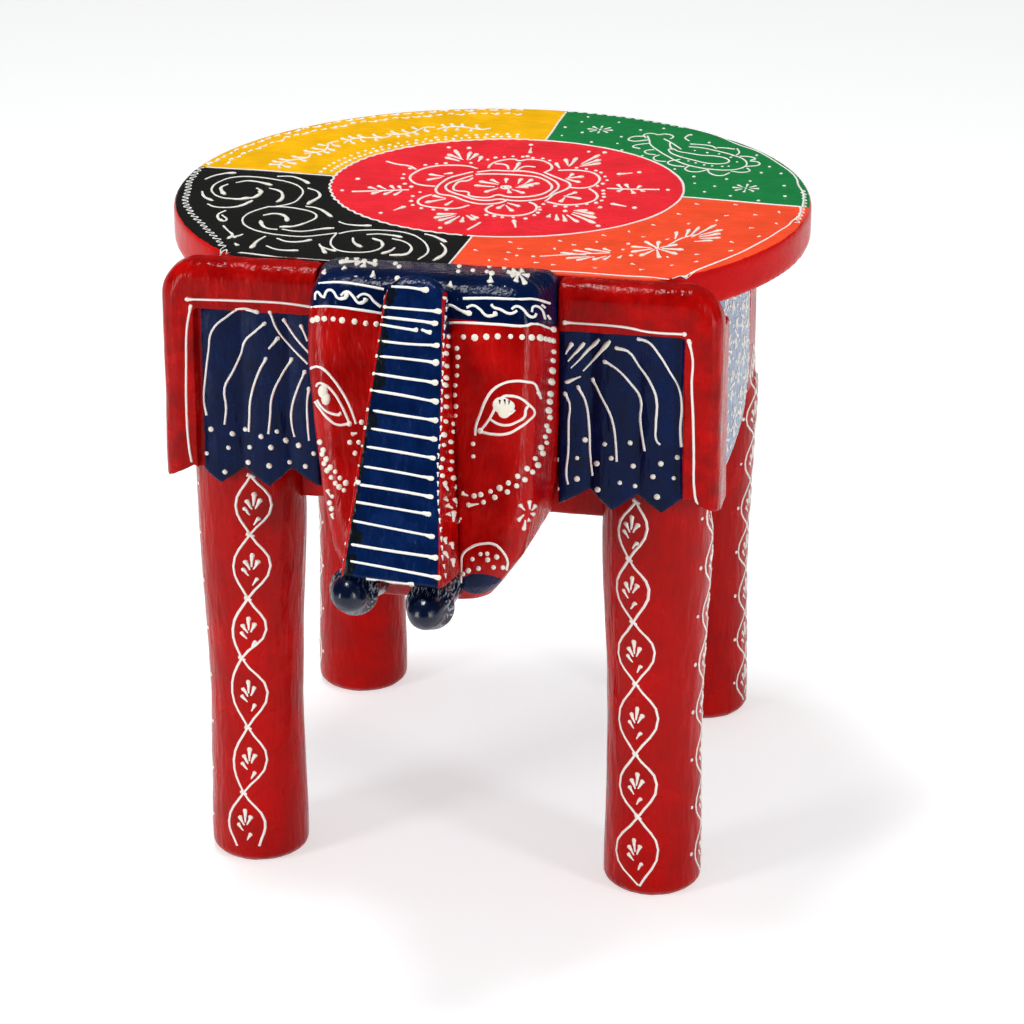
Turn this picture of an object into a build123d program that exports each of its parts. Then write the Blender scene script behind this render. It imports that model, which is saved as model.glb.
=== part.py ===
"""Carved and painted elephant stool: a round seat on a doweled carcass with four legs,
and an elephant's head, trunk, tusks, ears and tail glued and screwed to it.

Millimetres. +Z is up, the elephant faces -Y, and the floor is z = 0. The origin is on the floor
under the middle of the whole stool's length and width. Left is -X, as seen from the front.
A "reach" is a distance forward, towards -Y, from the front face of the carcass.
"""

import os

from build123d import *

# ---------------------------------------------------------------- driving dimensions
# Seat: a round board whose front is sawn straight to meet the head and the ears.
seat_height = 304.8
seat_radius = 151.0
seat_thickness = 19.0
seat_chord_depth = 35.5  # what is sawn off the round, measured in from its rim
seat_edge_round = 2.5

# Legs: round posts with a squared upper end. Insets are from the seat's rim to a leg's centre.
leg_radius = 23.2
leg_waist_radius = 22.3
leg_waist_height = 95.0
leg_neck_radius = 25.4
foot_chamfer = 3.5
front_leg_inset_x = 55.1
front_leg_inset_y = 53.7
rear_leg_inset_x = 60.1
rear_leg_inset_y = 47.3
leg_corner_round = 21.0  # on the outer corner of the rear legs' squared ends
leg_shoulder_rise = 27.0  # the round front of a front leg goes on this far, behind the ear

# Carcass: a front and a rear block and two side panels between the legs.
carcass_height = 102.8
block_thickness = 27.4
block_edge_round = 4.0
rump_bulge = 6.0
rump_flat = 22.0
panel_thickness = 30.0
panel_bulge = 3.0
belly_round = 10.0

# Ears: thick boards with a raised border round a recessed field of long folds.
ear_thickness = 30.0
ear_inner_x = 55.0
ear_outer_inset = 23.0  # from the seat's rim in to the ear's outer side
ear_top_drop = 0.3  # below the seat's top
ear_corner_round = 17.0
ear_edge_round = 8.0
ear_back_round = 3.0
rim_margin = 1.0  # an edge this near to a board's outline counts as part of its rim
ear_side_border = 16.4
ear_top_border = 21.5
field_depth = 4.5
fold_rise = 2.2  # the field's long folds stand this far out between the grooves that part them
# The scalloped lower edge, from the head outward: (share of the ear's width, height above the carcass).
ear_hem_steps = [
    (0.0, 16.5),
    (0.195, 24.5),
    (0.333, 15.0),
    (0.493, 23.2),
    (0.644, 15.2),
    (0.805, 24.3),
    (1.0, 16.8),
]

# Head: lofted through level sections, full width between the ears and narrower towards the front. Each is
# (height, half width at the ears, left and right half widths at the front, reach, radius of the front
# corners). The jaw's heights are above its underside, and the face's are below the top of the seat.
jaw_drop = 14.5  # from the trunk's heel down to the jaw's underside
jaw_sections = [
    (0.0, 36.0, 25.0, 32.0, 80.0, 12.0),
    (9.0, 42.5, 30.0, 38.5, 86.0, 14.0),
    (22.0, 50.5, 35.0, 47.5, 87.5, 14.0),
    (40.0, 54.0, 39.5, 51.0, 83.0, 12.0),
]
face_sections = [
    (64.8, ear_inner_x, 44.5, 51.5, 77.0, 11.0),
    (29.8, ear_inner_x, 50.0, 51.5, 70.5, 10.0),
    (-13.2, ear_inner_x - 1.5, 50.0, 50.5, 62.0, 9.0),
]
crown_back_rise = 1.7  # above the seat
crown_front_rise = 8.2
crown_front_reach = 48.0
crown_corner_round = 8.0
brow_drop = 5.8  # the rounded top of the forehead starts this far below the seat's top
brow_reach = 66.5
head_side_round = 30.0  # where each side turns in, in front of the ears
jaw_back_reach = 26.0  # the jaw stops this far in front of the carcass
jaw_back_rise = 17.0

# Trunk: a tapering board, thicker towards its lower end, let into the front of the head.
trunk_top_rise = 10.2  # above the seat
trunk_top_reach = 62.0
trunk_brow_drop = 13.0  # from its top down to where its front becomes straight
trunk_brow_reach = 72.5
trunk_tip_rise = 9.5  # from its heel up to the front of its tip
trunk_tip_reach = 124.0
trunk_heel_drop = 118.3  # from the seat's top down to its heel
trunk_x = -1.2
trunk_top_half_width = 13.0
trunk_tip_half_width = 23.5
trunk_slant = 2.5  # the left corner of its sawn tip is this much higher than the right one
trunk_corner_round = 11.0
trunk_seat_top_reach = 59.5  # the glued back's reach at the trunk's top and at its heel
trunk_seat_heel_reach = 84.0
trunk_edge_round = 2.0

# Tusks: club-shaped pegs in sockets under the trunk, bedded a little into its underside.
tusk_tip_lead = 6.0  # in front of the trunk's tip
tusk_x = 16.5  # to each side of the trunk's middle
tusk_splay = 0.5
tusk_lean = -2.5  # both tips lean this far to the left
tusk_uneven = 3.5  # the left tip sits this much above their mean height, and the right one below it
tusk_root_setback = 2.0  # behind the trunk's heel
tusk_root_drop = 6.2  # below the trunk's heel
tusk_tip_drop = 9.0  # below the front of the trunk's tip
tusk_neck_radius = 5.6
tusk_bulb_radius = 8.0
tusk_tenon_radius = 3.5
tusk_tenon_length = 10.0

# Tail: a flat carved strip with a tuft.
tail_top_drop = 15.8  # below the seat's underside
tail_length = 102.0
tail_tuft_length = 28.0
tail_half_width = 6.5
tail_tuft_half_width = 10.0
tail_thickness = 9.0
tail_edge_round = 2.0

# Dowels, screws and the clearances they sit in.
head_screw_x = 30.0
ear_screw_margin = 7.0  # from an ear's inner side out to its inner screw
ear_screw_inset = 15.9  # from a front leg's centre in to the outer ear screw
ear_screw_rise = 11.0  # the inner ear screw is this far above the middle, the outer one below it
trunk_dowel_rises = (35.5, 85.5)  # above the trunk's heel
tail_dowel_drop = 24.0  # below the tail's top
dowel_radius = 4.0
dowel_length = 36.0
dowel_end_gap = 1.0
small_dowel_radius = 3.0
small_dowel_length = 14.0
tail_dowel_bite = 5.0
glue_gap = 0.1
screw_radius = 2.1
screw_head_radius = 4.2
screw_head_depth = 3.2
screw_point_length = 6.0
screw_spread = 2.0  # the seat's screws stand this far outside the legs' centres
seat_screw_length = 42.0
head_screw_length = 52.0
ear_screw_length = 44.0
plug_radius = 5.0
plug_length = 6.0

# ---------------------------------------------------------------- derived places
seat_chord = seat_radius - seat_chord_depth
front_leg_x = seat_radius - front_leg_inset_x
front_leg_y = seat_radius - front_leg_inset_y
rear_leg_x = seat_radius - rear_leg_inset_x
rear_leg_y = seat_radius - rear_leg_inset_y
# From the seat's centre forward to the carcass, and to the tips of the tusks.
carcass_reach = front_leg_y - leg_radius + block_thickness
front_reach = carcass_reach + trunk_tip_reach + tusk_tip_lead
seat_y = (front_reach - seat_radius) / 2
seat_bottom = seat_height - seat_thickness
carcass_bottom = seat_bottom - carcass_height
leg_shoulder_height = carcass_bottom + leg_shoulder_rise
chord_y = seat_y - seat_chord
front_leg_centre_y = seat_y - front_leg_y
rear_leg_centre_y = seat_y + rear_leg_y
front_block_back_y = front_leg_centre_y + leg_radius
carcass_front_y = front_block_back_y - block_thickness
carcass_back_y = rear_leg_centre_y + leg_radius
rear_block_front_y = carcass_back_y - block_thickness
ear_front_y = carcass_front_y - ear_thickness
ear_outer_x = seat_radius - ear_outer_inset
ear_top_height = seat_height - ear_top_drop
field_outer_x = ear_outer_x - ear_side_border
field_top_height = ear_top_height - ear_top_border
trunk_top_height = seat_height + trunk_top_rise
trunk_brow_height = trunk_top_height - trunk_brow_drop
trunk_heel_height = seat_height - trunk_heel_drop
trunk_tip_height = trunk_heel_height + trunk_tip_rise
jaw_height = trunk_heel_height - jaw_drop
jaw_back_height = jaw_height + jaw_back_rise
brow_height = seat_height - brow_drop
crown_back_height = seat_height + crown_back_rise
crown_front_height = seat_height + crown_front_rise
tail_top_height = seat_bottom - tail_top_drop
tail_tip_height = tail_top_height - tail_length
tail_tuft_height = tail_tip_height + tail_tuft_length
mid_height = (seat_bottom + carcass_bottom) / 2
front_block_y = carcass_front_y + block_thickness / 2
rear_block_y = carcass_back_y - block_thickness / 2
panel_front_y = front_block_back_y
panel_back_y = rear_leg_centre_y - leg_radius
sides = {"left": -1, "right": 1}
# (out to the left or right, leg's centre x, leg's centre y)
legs = {
    "front_left": (-1, -front_leg_x, front_leg_centre_y),
    "front_right": (1, front_leg_x, front_leg_centre_y),
    "rear_left": (-1, -rear_leg_x, rear_leg_centre_y),
    "rear_right": (1, rear_leg_x, rear_leg_centre_y),
}
os.makedirs("parts", exist_ok=True)


def reach_y(reach):
    """The y of a point at a given reach."""
    return carcass_front_y - reach


def save(builder, name):
    """Labels a finished piece and writes it as its own STEP file."""
    builder.part.label = name
    export_step(builder.part, f"parts/{name}.step")


# ---------------------------------------------------------------- screws and dowels
def screws(places, length):
    """Countersunk wood screws as separate solids, each with its head's top on a plane facing outward."""
    with BuildPart() as group:
        for place in places:
            with BuildSketch(Plane(origin=place.origin, x_dir=place.x_dir, z_dir=-place.y_dir)):
                with BuildLine():
                    Polyline(
                        (0, 0),
                        (screw_head_radius, 0),
                        (screw_radius, -screw_head_depth),
                        (screw_radius, screw_point_length - length),
                        (0, -length),
                        close=True,
                    )
                make_face()
            revolve(axis=Axis(place.origin, place.z_dir))
    return group


def screw_holes(places, length):
    """The countersunk holes that the screws sit in, a glue gap larger all round."""
    with BuildPart() as group:
        for place in places:
            with BuildSketch(Plane(origin=place.origin, x_dir=place.x_dir, z_dir=-place.y_dir)):
                with BuildLine():
                    Polyline(
                        (0, 0),
                        (screw_head_radius + glue_gap, 0),
                        (screw_radius + glue_gap, -screw_head_depth - glue_gap),
                        (screw_radius + glue_gap, -length - glue_gap),
                        (0, -length - glue_gap),
                        close=True,
                    )
                make_face()
            revolve(axis=Axis(place.origin, place.z_dir))
    return group


def pegs(places, radius, length):
    """Round dowels as separate solids, each centred on a plane and lying along its Z axis."""
    with BuildPart() as group:
        for place in places:
            with BuildSketch(place.offset(-length / 2)):
                Circle(radius)
            extrude(amount=length)
    return group


def facing_back(x, y, z):
    """A plane for hardware that lies along Y, its outer end towards the back."""
    return Plane(origin=(x, y, z), x_dir=(1, 0, 0), z_dir=(0, 1, 0))


# Screws through the seat into the legs, under round plugs.
seat_screw_places = [
    Plane(origin=(side * (leg_x + screw_spread), y, seat_height - plug_length), z_dir=(0, 0, 1))
    for leg_x, y in ((front_leg_x, front_block_y), (rear_leg_x, rear_leg_centre_y))
    for side in sides.values()
]
seat_screws = screws(seat_screw_places, seat_screw_length)
save(seat_screws, "seat_screws")
seat_screw_holes = screw_holes(seat_screw_places, seat_screw_length)

plug_places = [place.offset(plug_length / 2) for place in seat_screw_places]
seat_plugs = pegs(plug_places, plug_radius, plug_length)
save(seat_plugs, "seat_plugs")
plug_holes = pegs(plug_places, plug_radius + glue_gap, plug_length)

# Dowels along X join the blocks to the legs. Dowels along Y join the side panels to the legs.
block_dowel_places = [
    Plane(origin=(side * (leg_x - leg_radius), y, mid_height + step * carcass_height / 4), z_dir=(1, 0, 0))
    for leg_x, y in ((front_leg_x, front_block_y), (rear_leg_x, rear_block_y))
    for side in sides.values()
    for step in (-1, 1)
]
block_dowels = pegs(block_dowel_places, dowel_radius, dowel_length)
save(block_dowels, "block_dowels")

panel_dowel_places = [
    facing_back(side * (leg_x + leg_radius - panel_thickness / 2), y, mid_height + step * carcass_height / 8)
    for leg_x, y in ((front_leg_x, panel_front_y), (rear_leg_x, panel_back_y))
    for side in sides.values()
    for step in (-1, 1)
]
panel_dowels = pegs(panel_dowel_places, dowel_radius, dowel_length)
save(panel_dowels, "panel_dowels")
dowel_holes = pegs(
    block_dowel_places + panel_dowel_places, dowel_radius + glue_gap, dowel_length + 2 * dowel_end_gap
)

# Screws from behind the front block and the front legs hold the head and the ears.
head_screw_places = [
    facing_back(x, front_block_back_y, z)
    for x, z in (
        (-head_screw_x, mid_height),
        (head_screw_x, mid_height),
        (0, mid_height + carcass_height / 4),
    )
]
head_screws = screws(head_screw_places, head_screw_length)
save(head_screws, "head_screws")

ear_screw_places = [
    facing_back(side * x, front_block_back_y, z)
    for side in sides.values()
    for x, z in (
        (ear_inner_x + ear_screw_margin, mid_height + ear_screw_rise),
        (front_leg_x - ear_screw_inset, mid_height - ear_screw_rise),
    )
]
ear_screws = screws(ear_screw_places, ear_screw_length)
save(ear_screws, "ear_screws")
front_screw_holes = screw_holes(head_screw_places, head_screw_length)
ear_screw_holes = screw_holes(ear_screw_places, ear_screw_length)


def trunk_seat_reach(height):
    """The reach of the sloping flat that the trunk is glued to."""
    slope = (trunk_seat_heel_reach - trunk_seat_top_reach) / (trunk_top_height - trunk_heel_height)
    return trunk_seat_top_reach + (trunk_top_height - height) * slope


trunk_dowel_heights = [trunk_heel_height + rise for rise in trunk_dowel_rises]
trunk_dowel_places = [facing_back(trunk_x, reach_y(trunk_seat_reach(z)), z) for z in trunk_dowel_heights]
trunk_dowels = pegs(trunk_dowel_places, small_dowel_radius, small_dowel_length)
save(trunk_dowels, "trunk_dowels")
trunk_dowel_holes = pegs(
    trunk_dowel_places, small_dowel_radius + glue_gap, small_dowel_length + 2 * dowel_end_gap
)

rump_y = carcass_back_y + rump_bulge
tail_dowel_y = rump_y - small_dowel_length / 2 + tail_dowel_bite
tail_dowel_places = [facing_back(0, tail_dowel_y, tail_top_height - tail_dowel_drop)]
tail_dowel = pegs(tail_dowel_places, small_dowel_radius, small_dowel_length)
save(tail_dowel, "tail_dowel")
tail_dowel_hole = pegs(tail_dowel_places, small_dowel_radius + glue_gap, small_dowel_length + dowel_end_gap)


# ---------------------------------------------------------------- seat
with BuildPart() as seat_top:
    with BuildSketch(Plane.XY.offset(seat_bottom)):
        with Locations((0, seat_y)):
            Circle(seat_radius)
        with Locations((0, chord_y - seat_radius)):
            Rectangle(3 * seat_radius, 2 * seat_radius, mode=Mode.SUBTRACT)
    extrude(amount=seat_thickness)
    fillet(seat_top.edges().filter_by(GeomType.CIRCLE), seat_edge_round)
    add(seat_screw_holes.part, mode=Mode.SUBTRACT)
    add(plug_holes.part, mode=Mode.SUBTRACT)
save(seat_top, "seat_top")


# ---------------------------------------------------------------- legs
for name, (out, x, y) in legs.items():
    at_front = name.startswith("front")
    with BuildPart() as leg:
        with BuildSketch(Plane(origin=(x, y, 0), x_dir=(1, 0, 0), z_dir=(0, -1, 0))):
            with BuildLine():
                foot = Polyline((0, 0), (leg_radius - foot_chamfer, 0), (leg_radius, foot_chamfer))
                shin = Spline(
                    foot @ 1,
                    (leg_waist_radius, leg_waist_height),
                    (leg_neck_radius, carcass_bottom),
                    tangents=[(0, 1), (0, 1)],
                )
                Polyline(shin @ 1, (0, carcass_bottom), (0, 0))
            make_face()
        revolve(axis=Axis((x, y, 0), (0, 0, 1)))
        # The squared end, lapped at the front so that an ear sits flush on it and on the block.
        top_front_y = carcass_front_y if at_front else y - leg_radius
        with BuildSketch(Plane.XY.offset(carcass_bottom)):
            with Locations((x, (top_front_y + y + leg_radius) / 2)):
                Rectangle(2 * leg_radius, y + leg_radius - top_front_y)
            if not at_front:
                outer_corner = [v for v in vertices() if (v.X - x) * out > 0 and v.Y > y]
                fillet(outer_corner, leg_corner_round)
        extrude(amount=carcass_height)
        if at_front:
            # In front of the lap the round post runs on up behind the ear.
            with BuildSketch(Plane.XY.offset(carcass_bottom)):
                with Locations((x, y)):
                    Circle(leg_neck_radius)
                with Locations((x, carcass_front_y + 2 * leg_neck_radius)):
                    Rectangle(4 * leg_neck_radius, 4 * leg_neck_radius, mode=Mode.SUBTRACT)
            extrude(amount=leg_shoulder_height - carcass_bottom)
            add(ear_screw_holes.part, mode=Mode.SUBTRACT)
        add(dowel_holes.part, mode=Mode.SUBTRACT)
        add(seat_screw_holes.part, mode=Mode.SUBTRACT)
    save(leg, f"leg_{name}")

# ---------------------------------------------------------------- carcass
front_block_half = front_leg_x - leg_radius
with BuildPart() as front_block:
    with BuildSketch(Plane.XY.offset(carcass_bottom)):
        with Locations((0, front_block_y)):
            Rectangle(2 * front_block_half, block_thickness)
    extrude(amount=carcass_height)
    low_front = front_block.faces().sort_by(Axis.Y)[0].edges().sort_by(Axis.Z)[0]
    fillet(low_front, block_edge_round)
    add(dowel_holes.part, mode=Mode.SUBTRACT)
    add(front_screw_holes.part, mode=Mode.SUBTRACT)
    add(ear_screw_holes.part, mode=Mode.SUBTRACT)
save(front_block, "front_block")

rear_block_half = rear_leg_x - leg_radius
with BuildPart() as rear_block:
    with BuildSketch(Plane.XY.offset(carcass_bottom)):
        with BuildLine():
            flank = Polyline(
                (-rump_flat, rump_y),
                (rump_flat, rump_y),
            )
            right_curve = TangentArc(flank @ 1, (rear_block_half, carcass_back_y), tangent=(1, 0))
            left_curve = TangentArc(flank @ 0, (-rear_block_half, carcass_back_y), tangent=(-1, 0))
            Polyline(
                right_curve @ 1,
                (rear_block_half, rear_block_front_y),
                (-rear_block_half, rear_block_front_y),
                left_curve @ 1,
            )
        make_face()
    extrude(amount=carcass_height)
    low_edges = rear_block.edges().filter_by_position(Axis.Z, carcass_bottom, carcass_bottom)
    fillet(low_edges.sort_by(Axis.Y)[-3:], block_edge_round)
    add(dowel_holes.part, mode=Mode.SUBTRACT)
    add(tail_dowel_hole.part, mode=Mode.SUBTRACT)
save(rear_block, "rear_block")

for name, side in sides.items():
    front_outer = side * (front_leg_x + leg_radius)
    rear_outer = side * (rear_leg_x + leg_radius)
    inward = -side * panel_thickness
    with BuildPart() as side_panel:
        with BuildSketch(Plane.XY.offset(carcass_bottom)):
            with BuildLine():
                flank = ThreePointArc(
                    (front_outer, panel_front_y),
                    ((front_outer + rear_outer) / 2 + side * panel_bulge, (panel_front_y + panel_back_y) / 2),
                    (rear_outer, panel_back_y),
                )
                Polyline(
                    flank @ 1,
                    (rear_outer + inward, panel_back_y),
                    (front_outer + inward, panel_front_y),
                    flank @ 0,
                )
            make_face()
        extrude(amount=carcass_height)
        low_edges = side_panel.edges().filter_by_position(Axis.Z, carcass_bottom, carcass_bottom)
        fillet(low_edges.filter_by(GeomType.CIRCLE), belly_round)
        add(dowel_holes.part, mode=Mode.SUBTRACT)
    save(side_panel, f"side_panel_{name}")

# ---------------------------------------------------------------- ears
front_view = Plane(origin=(0, ear_front_y, 0), x_dir=(1, 0, 0), z_dir=(0, -1, 0))
field_y = ear_front_y + field_depth
ear_width = ear_outer_x - ear_inner_x
ear_hem = [(ear_inner_x + share * ear_width, carcass_bottom + rise) for share, rise in ear_hem_steps]
hem_low = min(z for x, z in ear_hem)
notches = [x for x, z in ear_hem[1:-1:2] if x < field_outer_x]
fold_edges = [ear_inner_x - (notches[1] - notches[0]) / 3, *notches, field_outer_x]
for name, side in sides.items():
    outer_x = side * ear_outer_x
    inner_x = side * ear_inner_x
    with BuildPart() as ear:
        with BuildSketch(front_view):
            with BuildLine():
                Polyline(
                    *[(side * x, z) for x, z in ear_hem],
                    (outer_x, ear_top_height),
                    (inner_x, ear_top_height),
                    close=True,
                )
            make_face()
            fillet(vertices().sort_by(Axis.Y)[-2:].sort_by(Axis.X)[0 if side < 0 else -1], ear_corner_round)
        extrude(amount=-ear_thickness)
        # The seat's sawn edge laps over the back of the board.
        with BuildSketch(Plane.XY.offset(seat_bottom)):
            with Locations((side * (ear_inner_x + ear_outer_x) / 2, chord_y - glue_gap + ear_thickness / 2)):
                Rectangle(2 * (ear_outer_x - ear_inner_x), ear_thickness)
        extrude(amount=ear_thickness, mode=Mode.SUBTRACT)
        # The top, the corner and the outer side are rounded; the hem and the head's side are sawn square.
        rim = [
            edge
            for edge in ear.edges()
            if edge.center().Z > ear_top_height - ear_corner_round
            or abs(edge.center().X) > ear_outer_x - rim_margin
        ]
        front_rim = [edge for edge in rim if edge.center().Y < ear_front_y + rim_margin]
        fillet(front_rim, ear_edge_round)
        back_rim = [
            edge
            for edge in ear.edges()
            if edge.center().Y > chord_y - rim_margin
            and edge.length > ear_edge_round
            and abs(edge.tangent_at(0.5).Y) < 0.5
            and (
                edge.center().Z > ear_top_height - ear_corner_round
                or abs(edge.center().X) > ear_outer_x - rim_margin
            )
        ]
        fillet(back_rim, ear_back_round)
        # The recessed field, open to the head and to the hem, carved into long folds. A groove runs down
        # to each notch of the hem.
        with BuildSketch(Plane.XY.offset(hem_low)):
            with BuildLine():
                for start_x, end_x in zip(fold_edges, fold_edges[1:]):
                    ThreePointArc(
                        (side * start_x, field_y),
                        (side * (start_x + end_x) / 2, field_y - fold_rise),
                        (side * end_x, field_y),
                    )
                Polyline(
                    (side * fold_edges[-1], field_y),
                    (side * fold_edges[-1], ear_front_y - field_depth),
                    (side * fold_edges[0], ear_front_y - field_depth),
                    (side * fold_edges[0], field_y),
                )
            make_face()
        extrude(amount=field_top_height - hem_low, mode=Mode.SUBTRACT)
        # The back is coped over the round front of the leg.
        with BuildSketch(Plane.XY.offset(carcass_bottom)):
            with Locations((side * front_leg_x, front_leg_centre_y)):
                Circle(leg_neck_radius + glue_gap)
        extrude(amount=leg_shoulder_height + glue_gap - carcass_bottom, mode=Mode.SUBTRACT)
        add(ear_screw_holes.part, mode=Mode.SUBTRACT)
    save(ear, f"ear_{name}")

# ---------------------------------------------------------------- places of the trunk and the tusks
side_view = Plane(origin=(0, carcass_front_y, 0), x_dir=(0, -1, 0), z_dir=(-1, 0, 0))


def trunk_front_reach(height):
    """The reach of the straight front of the trunk."""
    slope = (trunk_tip_reach - trunk_brow_reach) / (trunk_brow_height - trunk_tip_height)
    return trunk_tip_reach + (trunk_tip_height - height) * slope


def trunk_outline(grow):
    """The trunk's outline seen from the front, grown all round by a gap."""
    tip_half = trunk_tip_half_width + grow
    top_half = trunk_top_half_width + grow
    with BuildSketch(front_view) as outline:
        with BuildLine():
            Polyline(
                (trunk_x - tip_half, trunk_heel_height - trunk_slant),
                (trunk_x + tip_half, trunk_heel_height - trunk_slant),
                (trunk_x + top_half, trunk_top_height + grow),
                (trunk_x - top_half, trunk_top_height + grow),
                close=True,
            )
        make_face()
        fillet(vertices().sort_by(Axis.Y)[-2:], trunk_corner_round + grow)
    return outline.sketch


# The sawn underside runs forward and up from the heel, and up to the left.
tip_middle = Vector(trunk_x, reach_y(trunk_tip_reach), trunk_tip_height)
heel_middle = Vector(trunk_x, reach_y(trunk_seat_heel_reach), trunk_heel_height)
across_tip = Vector(2 * trunk_tip_half_width, 0, -trunk_slant)
sawn_under = Plane(origin=tip_middle, x_dir=across_tip, z_dir=(tip_middle - heel_middle).cross(across_tip))

# ---------------------------------------------------------------- tusks
tusk_root_y = reach_y(trunk_seat_heel_reach - tusk_root_setback)
tusk_root_height = trunk_heel_height - tusk_root_drop
tusk_tip_y = seat_y - front_reach
tusk_tip_height = trunk_tip_height - tusk_tip_drop
tusk_places = {}
for name, side in sides.items():
    root = Vector(trunk_x + side * tusk_x, tusk_root_y, tusk_root_height)
    tip = Vector(
        trunk_x + side * (tusk_x + tusk_splay) + tusk_lean, tusk_tip_y, tusk_tip_height - side * tusk_uneven
    )
    tusk_places[name] = Plane(origin=root, x_dir=(0, 0, 1), z_dir=tip - root), (tip - root).length


def tusk_club(place, length, grow):
    """A tusk from its shoulder to its tip, without the tenon, grown all round by a gap."""
    with BuildPart() as club:
        with BuildSketch(Plane(origin=place.origin, x_dir=place.z_dir, z_dir=-place.y_dir)):
            with BuildLine():
                body = Spline(
                    (0, tusk_neck_radius + grow),
                    (length / 2, (tusk_neck_radius + tusk_bulb_radius) / 2 + grow),
                    (length - tusk_bulb_radius, tusk_bulb_radius + grow),
                    (length + grow, 0),
                    tangents=[(1, 0), (0, -1)],
                )
                Polyline(body @ 1, (0, 0), (0, tusk_neck_radius + grow))
            make_face()
        revolve(axis=Axis(place.origin, place.z_dir))
    return club


for name, (place, length) in tusk_places.items():
    with BuildPart() as tusk:
        add(tusk_club(place, length, 0).part)
        with BuildSketch(place):
            Circle(tusk_tenon_radius)
        extrude(amount=-tusk_tenon_length)
    save(tusk, f"tusk_{name}")

# The sockets for their tenons, with a flat seat for each shoulder.
with BuildPart() as tusk_sockets:
    for place, length in tusk_places.values():
        with BuildSketch(place):
            Circle(tusk_tenon_radius + glue_gap)
        extrude(amount=-tusk_tenon_length - dowel_end_gap)
        with BuildSketch(place):
            Circle(tusk_neck_radius + glue_gap)
        extrude(amount=tusk_tenon_length)

# ---------------------------------------------------------------- trunk
with BuildPart() as trunk:
    with BuildSketch(side_view):
        with BuildLine():
            Polyline(
                (trunk_seat_reach(trunk_top_height), trunk_top_height),
                (trunk_seat_reach(trunk_heel_height - trunk_slant), trunk_heel_height - trunk_slant),
                (trunk_front_reach(trunk_tip_height - trunk_slant), trunk_tip_height - trunk_slant),
                (trunk_brow_reach, trunk_brow_height),
            )
            Spline(
                (trunk_brow_reach, trunk_brow_height),
                (trunk_top_reach, trunk_top_height),
                tangents=[
                    (trunk_brow_reach - trunk_tip_reach, trunk_brow_height - trunk_tip_height),
                    (-1, 0.2),
                ],
            )
            Line((trunk_top_reach, trunk_top_height), (trunk_seat_reach(trunk_top_height), trunk_top_height))
        make_face()
    extrude(amount=2 * trunk_tip_half_width, both=True)
    extrude(trunk_outline(0), amount=trunk_tip_reach, both=True, mode=Mode.INTERSECT)
    split(bisect_by=sawn_under, keep=Keep.TOP)
    front_edges = [
        edge
        for edge in trunk.edges()
        if edge.center().Y < reach_y(trunk_seat_reach(edge.center().Z) + trunk_edge_round)
    ]
    fillet(front_edges, trunk_edge_round)
    add(trunk_dowel_holes.part, mode=Mode.SUBTRACT)
    for place, length in tusk_places.values():
        add(tusk_club(place, length, glue_gap).part, mode=Mode.SUBTRACT)
save(trunk, "trunk")

# What is cut from the head to let the trunk in: its outline, back to the sloping flat.
housing_top = trunk_top_height + trunk_corner_round
with BuildPart() as trunk_housing:
    with BuildSketch(side_view):
        with BuildLine():
            Polyline(
                (trunk_seat_reach(housing_top), housing_top),
                (trunk_seat_reach(trunk_heel_height - trunk_slant), trunk_heel_height - trunk_slant),
                (trunk_tip_reach, trunk_heel_height - trunk_slant),
                (trunk_tip_reach, housing_top),
                close=True,
            )
        make_face()
    extrude(amount=2 * trunk_tip_half_width, both=True)
    extrude(trunk_outline(glue_gap), amount=trunk_tip_reach, both=True, mode=Mode.INTERSECT)
    split(bisect_by=sawn_under.offset(-glue_gap), keep=Keep.TOP)

# ---------------------------------------------------------------- head
head_sections = [(jaw_height + rise, *section) for rise, *section in jaw_sections]
head_sections += [(seat_height - drop, *section) for drop, *section in face_sections]
with BuildPart() as head_block:
    for height, half_width, left_front, right_front, reach, corner in head_sections:
        with BuildSketch(Plane.XY.offset(height)):
            with BuildLine():
                Polyline(
                    (-half_width, reach_y(0)),
                    (-half_width, reach_y(ear_thickness)),
                    (-left_front, reach_y(reach)),
                    (right_front, reach_y(reach)),
                    (half_width, reach_y(ear_thickness)),
                    (half_width, reach_y(0)),
                    close=True,
                )
            make_face()
            fillet(vertices().sort_by(Axis.Y)[2:4], head_side_round)
            fillet(vertices().sort_by(Axis.Y)[:2], corner)
    loft(ruled=True)
    # The crown, the forehead and the underside of the jaw, seen from the side.
    with BuildSketch(side_view):
        with BuildLine():
            Polyline(
                (brow_reach, brow_height),
                (2 * trunk_tip_reach, brow_height),
                (2 * trunk_tip_reach, jaw_height),
                (jaw_back_reach, jaw_height),
                (glue_gap, jaw_back_height),
                (glue_gap, seat_bottom - glue_gap),
                (carcass_front_y - chord_y + glue_gap, seat_bottom - glue_gap),
                (carcass_front_y - chord_y + glue_gap, crown_back_height),
                (crown_front_reach, crown_front_height),
            )
            Spline(
                (crown_front_reach, crown_front_height),
                (brow_reach, brow_height),
                tangents=[
                    (crown_front_reach, crown_front_height - crown_back_height),
                    (0.1, -1),
                ],
            )
        make_face()
    extrude(amount=2 * ear_inner_x, both=True, mode=Mode.INTERSECT)
    crown_sides = [
        edge
        for edge in head_block.edges()
        if edge.center().Z > crown_back_height - rim_margin
        and abs(edge.center().X) > ear_inner_x - crown_corner_round
        and abs(edge.tangent_at(0.5).Y) > 0.8
    ]
    fillet(crown_sides, crown_corner_round)
    add(trunk_housing.part, mode=Mode.SUBTRACT)
    add(trunk_dowel_holes.part, mode=Mode.SUBTRACT)
    add(front_screw_holes.part, mode=Mode.SUBTRACT)
    add(tusk_sockets.part, mode=Mode.SUBTRACT)
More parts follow.
